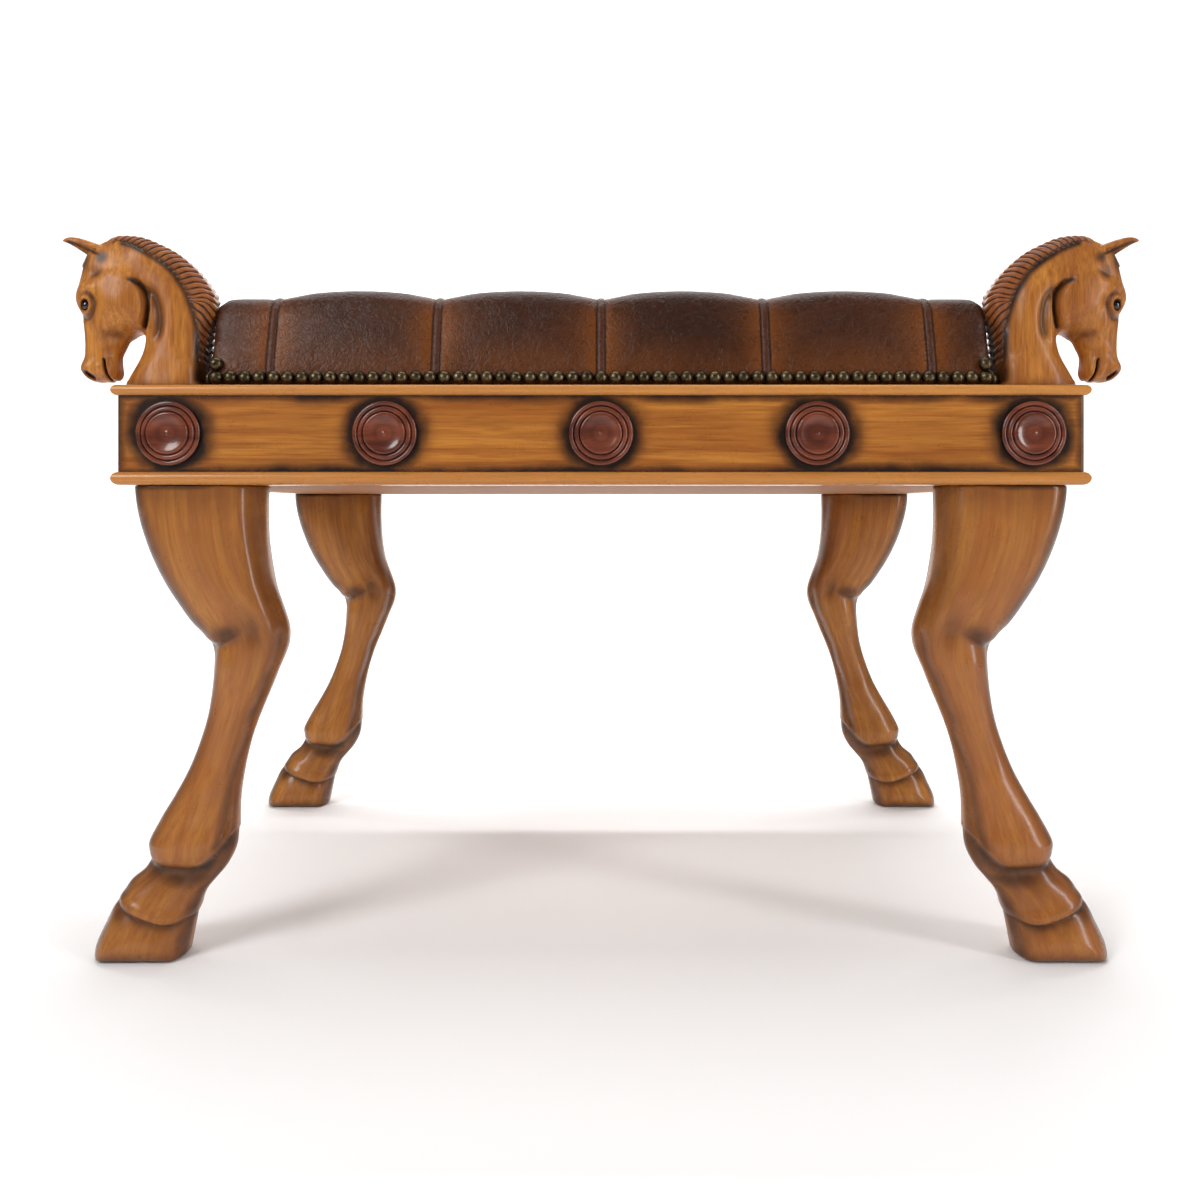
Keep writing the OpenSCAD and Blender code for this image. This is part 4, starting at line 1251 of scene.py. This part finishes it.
def bronze():
    """Antiqued nail heads: uneven bronze with small dark spots."""
    s = Surface("nail_bronze")
    spots = s.noise(s.coords, 420.0, 4.0, 0.6)
    tone = s.noise(s.coords, 70.0, 2.0)
    colour = s.mix(s.step(tone, 0.3, 0.7), linear(70, 60, 44), linear(100, 87, 64))
    colour = s.mix(s.step(spots, 0.48, 0.7), colour, linear(34, 28, 20))
    roughness = s.scaled(spots, 0.2, 0.26)
    relief = s.bump(spots, 0.15, 0.0003)
    return s.set(Base_Color=colour, Metallic=1.0, Roughness=roughness, Normal=relief)


def steel():
    """Zinc-plated screws, bolts and washers."""
    s = Surface("zinc_steel")
    spots = s.noise(s.coords, 300.0, 3.0)
    colour = s.mix(spots, linear(150, 150, 154), linear(190, 190, 194))
    return s.set(Base_Color=colour, Metallic=1.0, Roughness=s.step(spots, -0.8, 1.4))


def eye_glass():
    """Dark glass eyes, faintly brown in uneven patches."""
    s = Surface("eye_glass_dark")
    tone = s.noise(s.coords, 260.0, 2.0)
    colour = s.mix(s.step(tone, 0.35, 0.7), linear(10, 6, 4), linear(26, 13, 8))
    return s.set(Base_Color=colour, Roughness=0.08, Coat_Weight=0.5, Coat_Roughness=0.03, IOR=1.45)


def wear(piece, material):
    """Gives a piece its one material."""
    piece.data.materials.clear()
    piece.data.materials.append(material)


def dress_cad():
    """Materials for the CAD nodes that stay as they are."""
    objects = {name: bpy.data.objects[name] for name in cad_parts}
    top_low, top_high = box_mm("top_moulding_front")
    bottom_low, bottom_high = box_mm("bottom_moulding_front")
    for side in SIDES:
        grain = "x" if side in LONG_SIDES else "y"
        wear(objects["apron_" + side], apron_wood(side))
        wear(objects["top_moulding_" + side],
             moulding_wood("top_moulding_wood_" + side, grain, top_low[2], top_high[2]))
        wear(objects["bottom_moulding_" + side],
             moulding_wood("bottom_moulding_wood_" + side, grain, bottom_low[2], bottom_high[2]))
    wear(objects["bottom_panel"], panel_wood())
    inner = {g: bare_wood("bare_wood_" + g, g) for g in "xyz"}
    metal = steel()
    for name in ("deck_board", "seat_board", "mitre_splines"):
        wear(objects[name], inner["x"])
    for name in ("cross_rail_left", "cross_rail_middle", "cross_rail_right", "roundel_dowels"):
        wear(objects[name], inner["y"])
    for name in ["head_dowels"] + [f"corner_block_{a}_{b}" for a, b in CORNERS]:
        wear(objects[name], inner["z"])
    for name in ("deck_screws", "panel_screws", "head_screws", "seat_screws", "leg_bolts", "leg_washers"):
        wear(objects[name], metal)
    wear(objects["glass_eyes"], eye_glass())


# ------------------------------------------------------------ stage and camera


def cyclorama():
    """A pale floor that bends up into a backdrop, in metres."""
    paper = bpy.data.materials.new("studio_paper")
    paper.use_nodes = True
    shader = paper.node_tree.nodes["Principled BSDF"]
    shader.inputs["Base Color"].default_value = (0.93, 0.93, 0.93, 1)
    shader.inputs["Roughness"].default_value = 0.9
    half_width, front, back, top, bend = 7.0, -6.0, 2.6, 5.0, 1.6
    rows = [(front, 0.0)]
    rows += [(back + bend * math.sin(a), bend - bend * math.cos(a))
             for a in np.linspace(0, math.pi / 2, 17)]
    rows += [(back + bend, top)]
    vertices = [(x, y, z) for y, z in rows for x in (-half_width, half_width)]
    faces = [(2 * i, 2 * i + 1, 2 * i + 3, 2 * i + 2) for i in range(len(rows) - 1)]
    mesh = bpy.data.meshes.new("studio_floor")
    mesh.from_pydata(vertices, [], faces)
    mesh.polygons.foreach_set("use_smooth", [True] * len(mesh.polygons))
    mesh.materials.append(paper)
    stage = bpy.data.objects.new("studio_floor", mesh)
    bpy.context.scene.collection.objects.link(stage)


def lamp(name, where, towards, width, height, power):
    """A soft rectangular lamp that faces a point."""
    data = bpy.data.lights.new(name, "AREA")
    data.shape, data.size, data.size_y, data.energy = "RECTANGLE", width, height, power
    light = bpy.data.objects.new(name, data)
    light.location = where
    light.rotation_euler = (Vector(towards) - Vector(where)).to_track_quat("-Z", "Y").to_euler()
    bpy.context.scene.collection.objects.link(light)


def soft_light():
    """An even pale sky and five lamps."""
    world = bpy.data.worlds.new("studio")
    bpy.context.scene.world = world
    world.use_nodes = True
    sky = world.node_tree.nodes["Background"].inputs
    sky["Color"].default_value = (1.0, 1.0, 1.0, 1)
    sky["Strength"].default_value = 0.24
    lamp("key_left", (-1.5, -1.9, 1.7), (0, 0, 0.35), 0.9, 1.2, 39)
    lamp("side_right", (1.9, -1.5, 0.9), (0, 0, 0.3), 0.35, 1.5, 22)
    lamp("top", (0, 0.1, 2.4), (0, 0, 0.3), 2.0, 1.2, 22)
    lamp("back_rim", (0.4, 2.2, 1.5), (0, 0, 0.45), 1.8, 0.8, 9)
    lamp("backdrop", (0, 1.6, 3.6), (0, 4.4, 1.2), 4.5, 0.6, 230)


def photo_camera():
    """A level camera in front of the bench, at the photograph's height and distance."""
    data = bpy.data.cameras.new("camera")
    data.lens, data.sensor_width = 33.73, 36.0
    data.shift_x, data.shift_y = -0.0019, -0.0747
    camera = bpy.data.objects.new("camera", data)
    camera.location = (0.001, -1.0945, 0.343)
    camera.rotation_euler = (math.pi / 2, 0, 0)
    bpy.context.scene.collection.objects.link(camera)
    bpy.context.scene.camera = camera
    bpy.context.scene.view_settings.view_transform = "Standard"


# ---------------------------------------------------------------------- build


def build_seat():
    """The cover, its welts and its nails, each with its material."""
    cover = seat_cover()
    wear(cover, leather("seat_leather"))
    wear(seat_welts(cover), leather("welt_leather", welt=True))
    nail_metal = bronze()
    first_seed = 11
    for i, side in enumerate(SIDES):
        wear(nail_row(side, first_seed + i), nail_metal)


def build_roundels():
    """The roundels of all four sides."""
    gloss = mahogany()
    for side in SIDES:
        wear(roundels(side), gloss)


cyclorama()
soft_light()
photo_camera()
dress_cad()
build_carvings("leg", carved_leg(), 2, 0.0, leg_values, leg_wood)
build_carvings("horse_head", carved_head(), 1, DECK_Z, head_values, head_wood)
build_seat()
build_roundels()
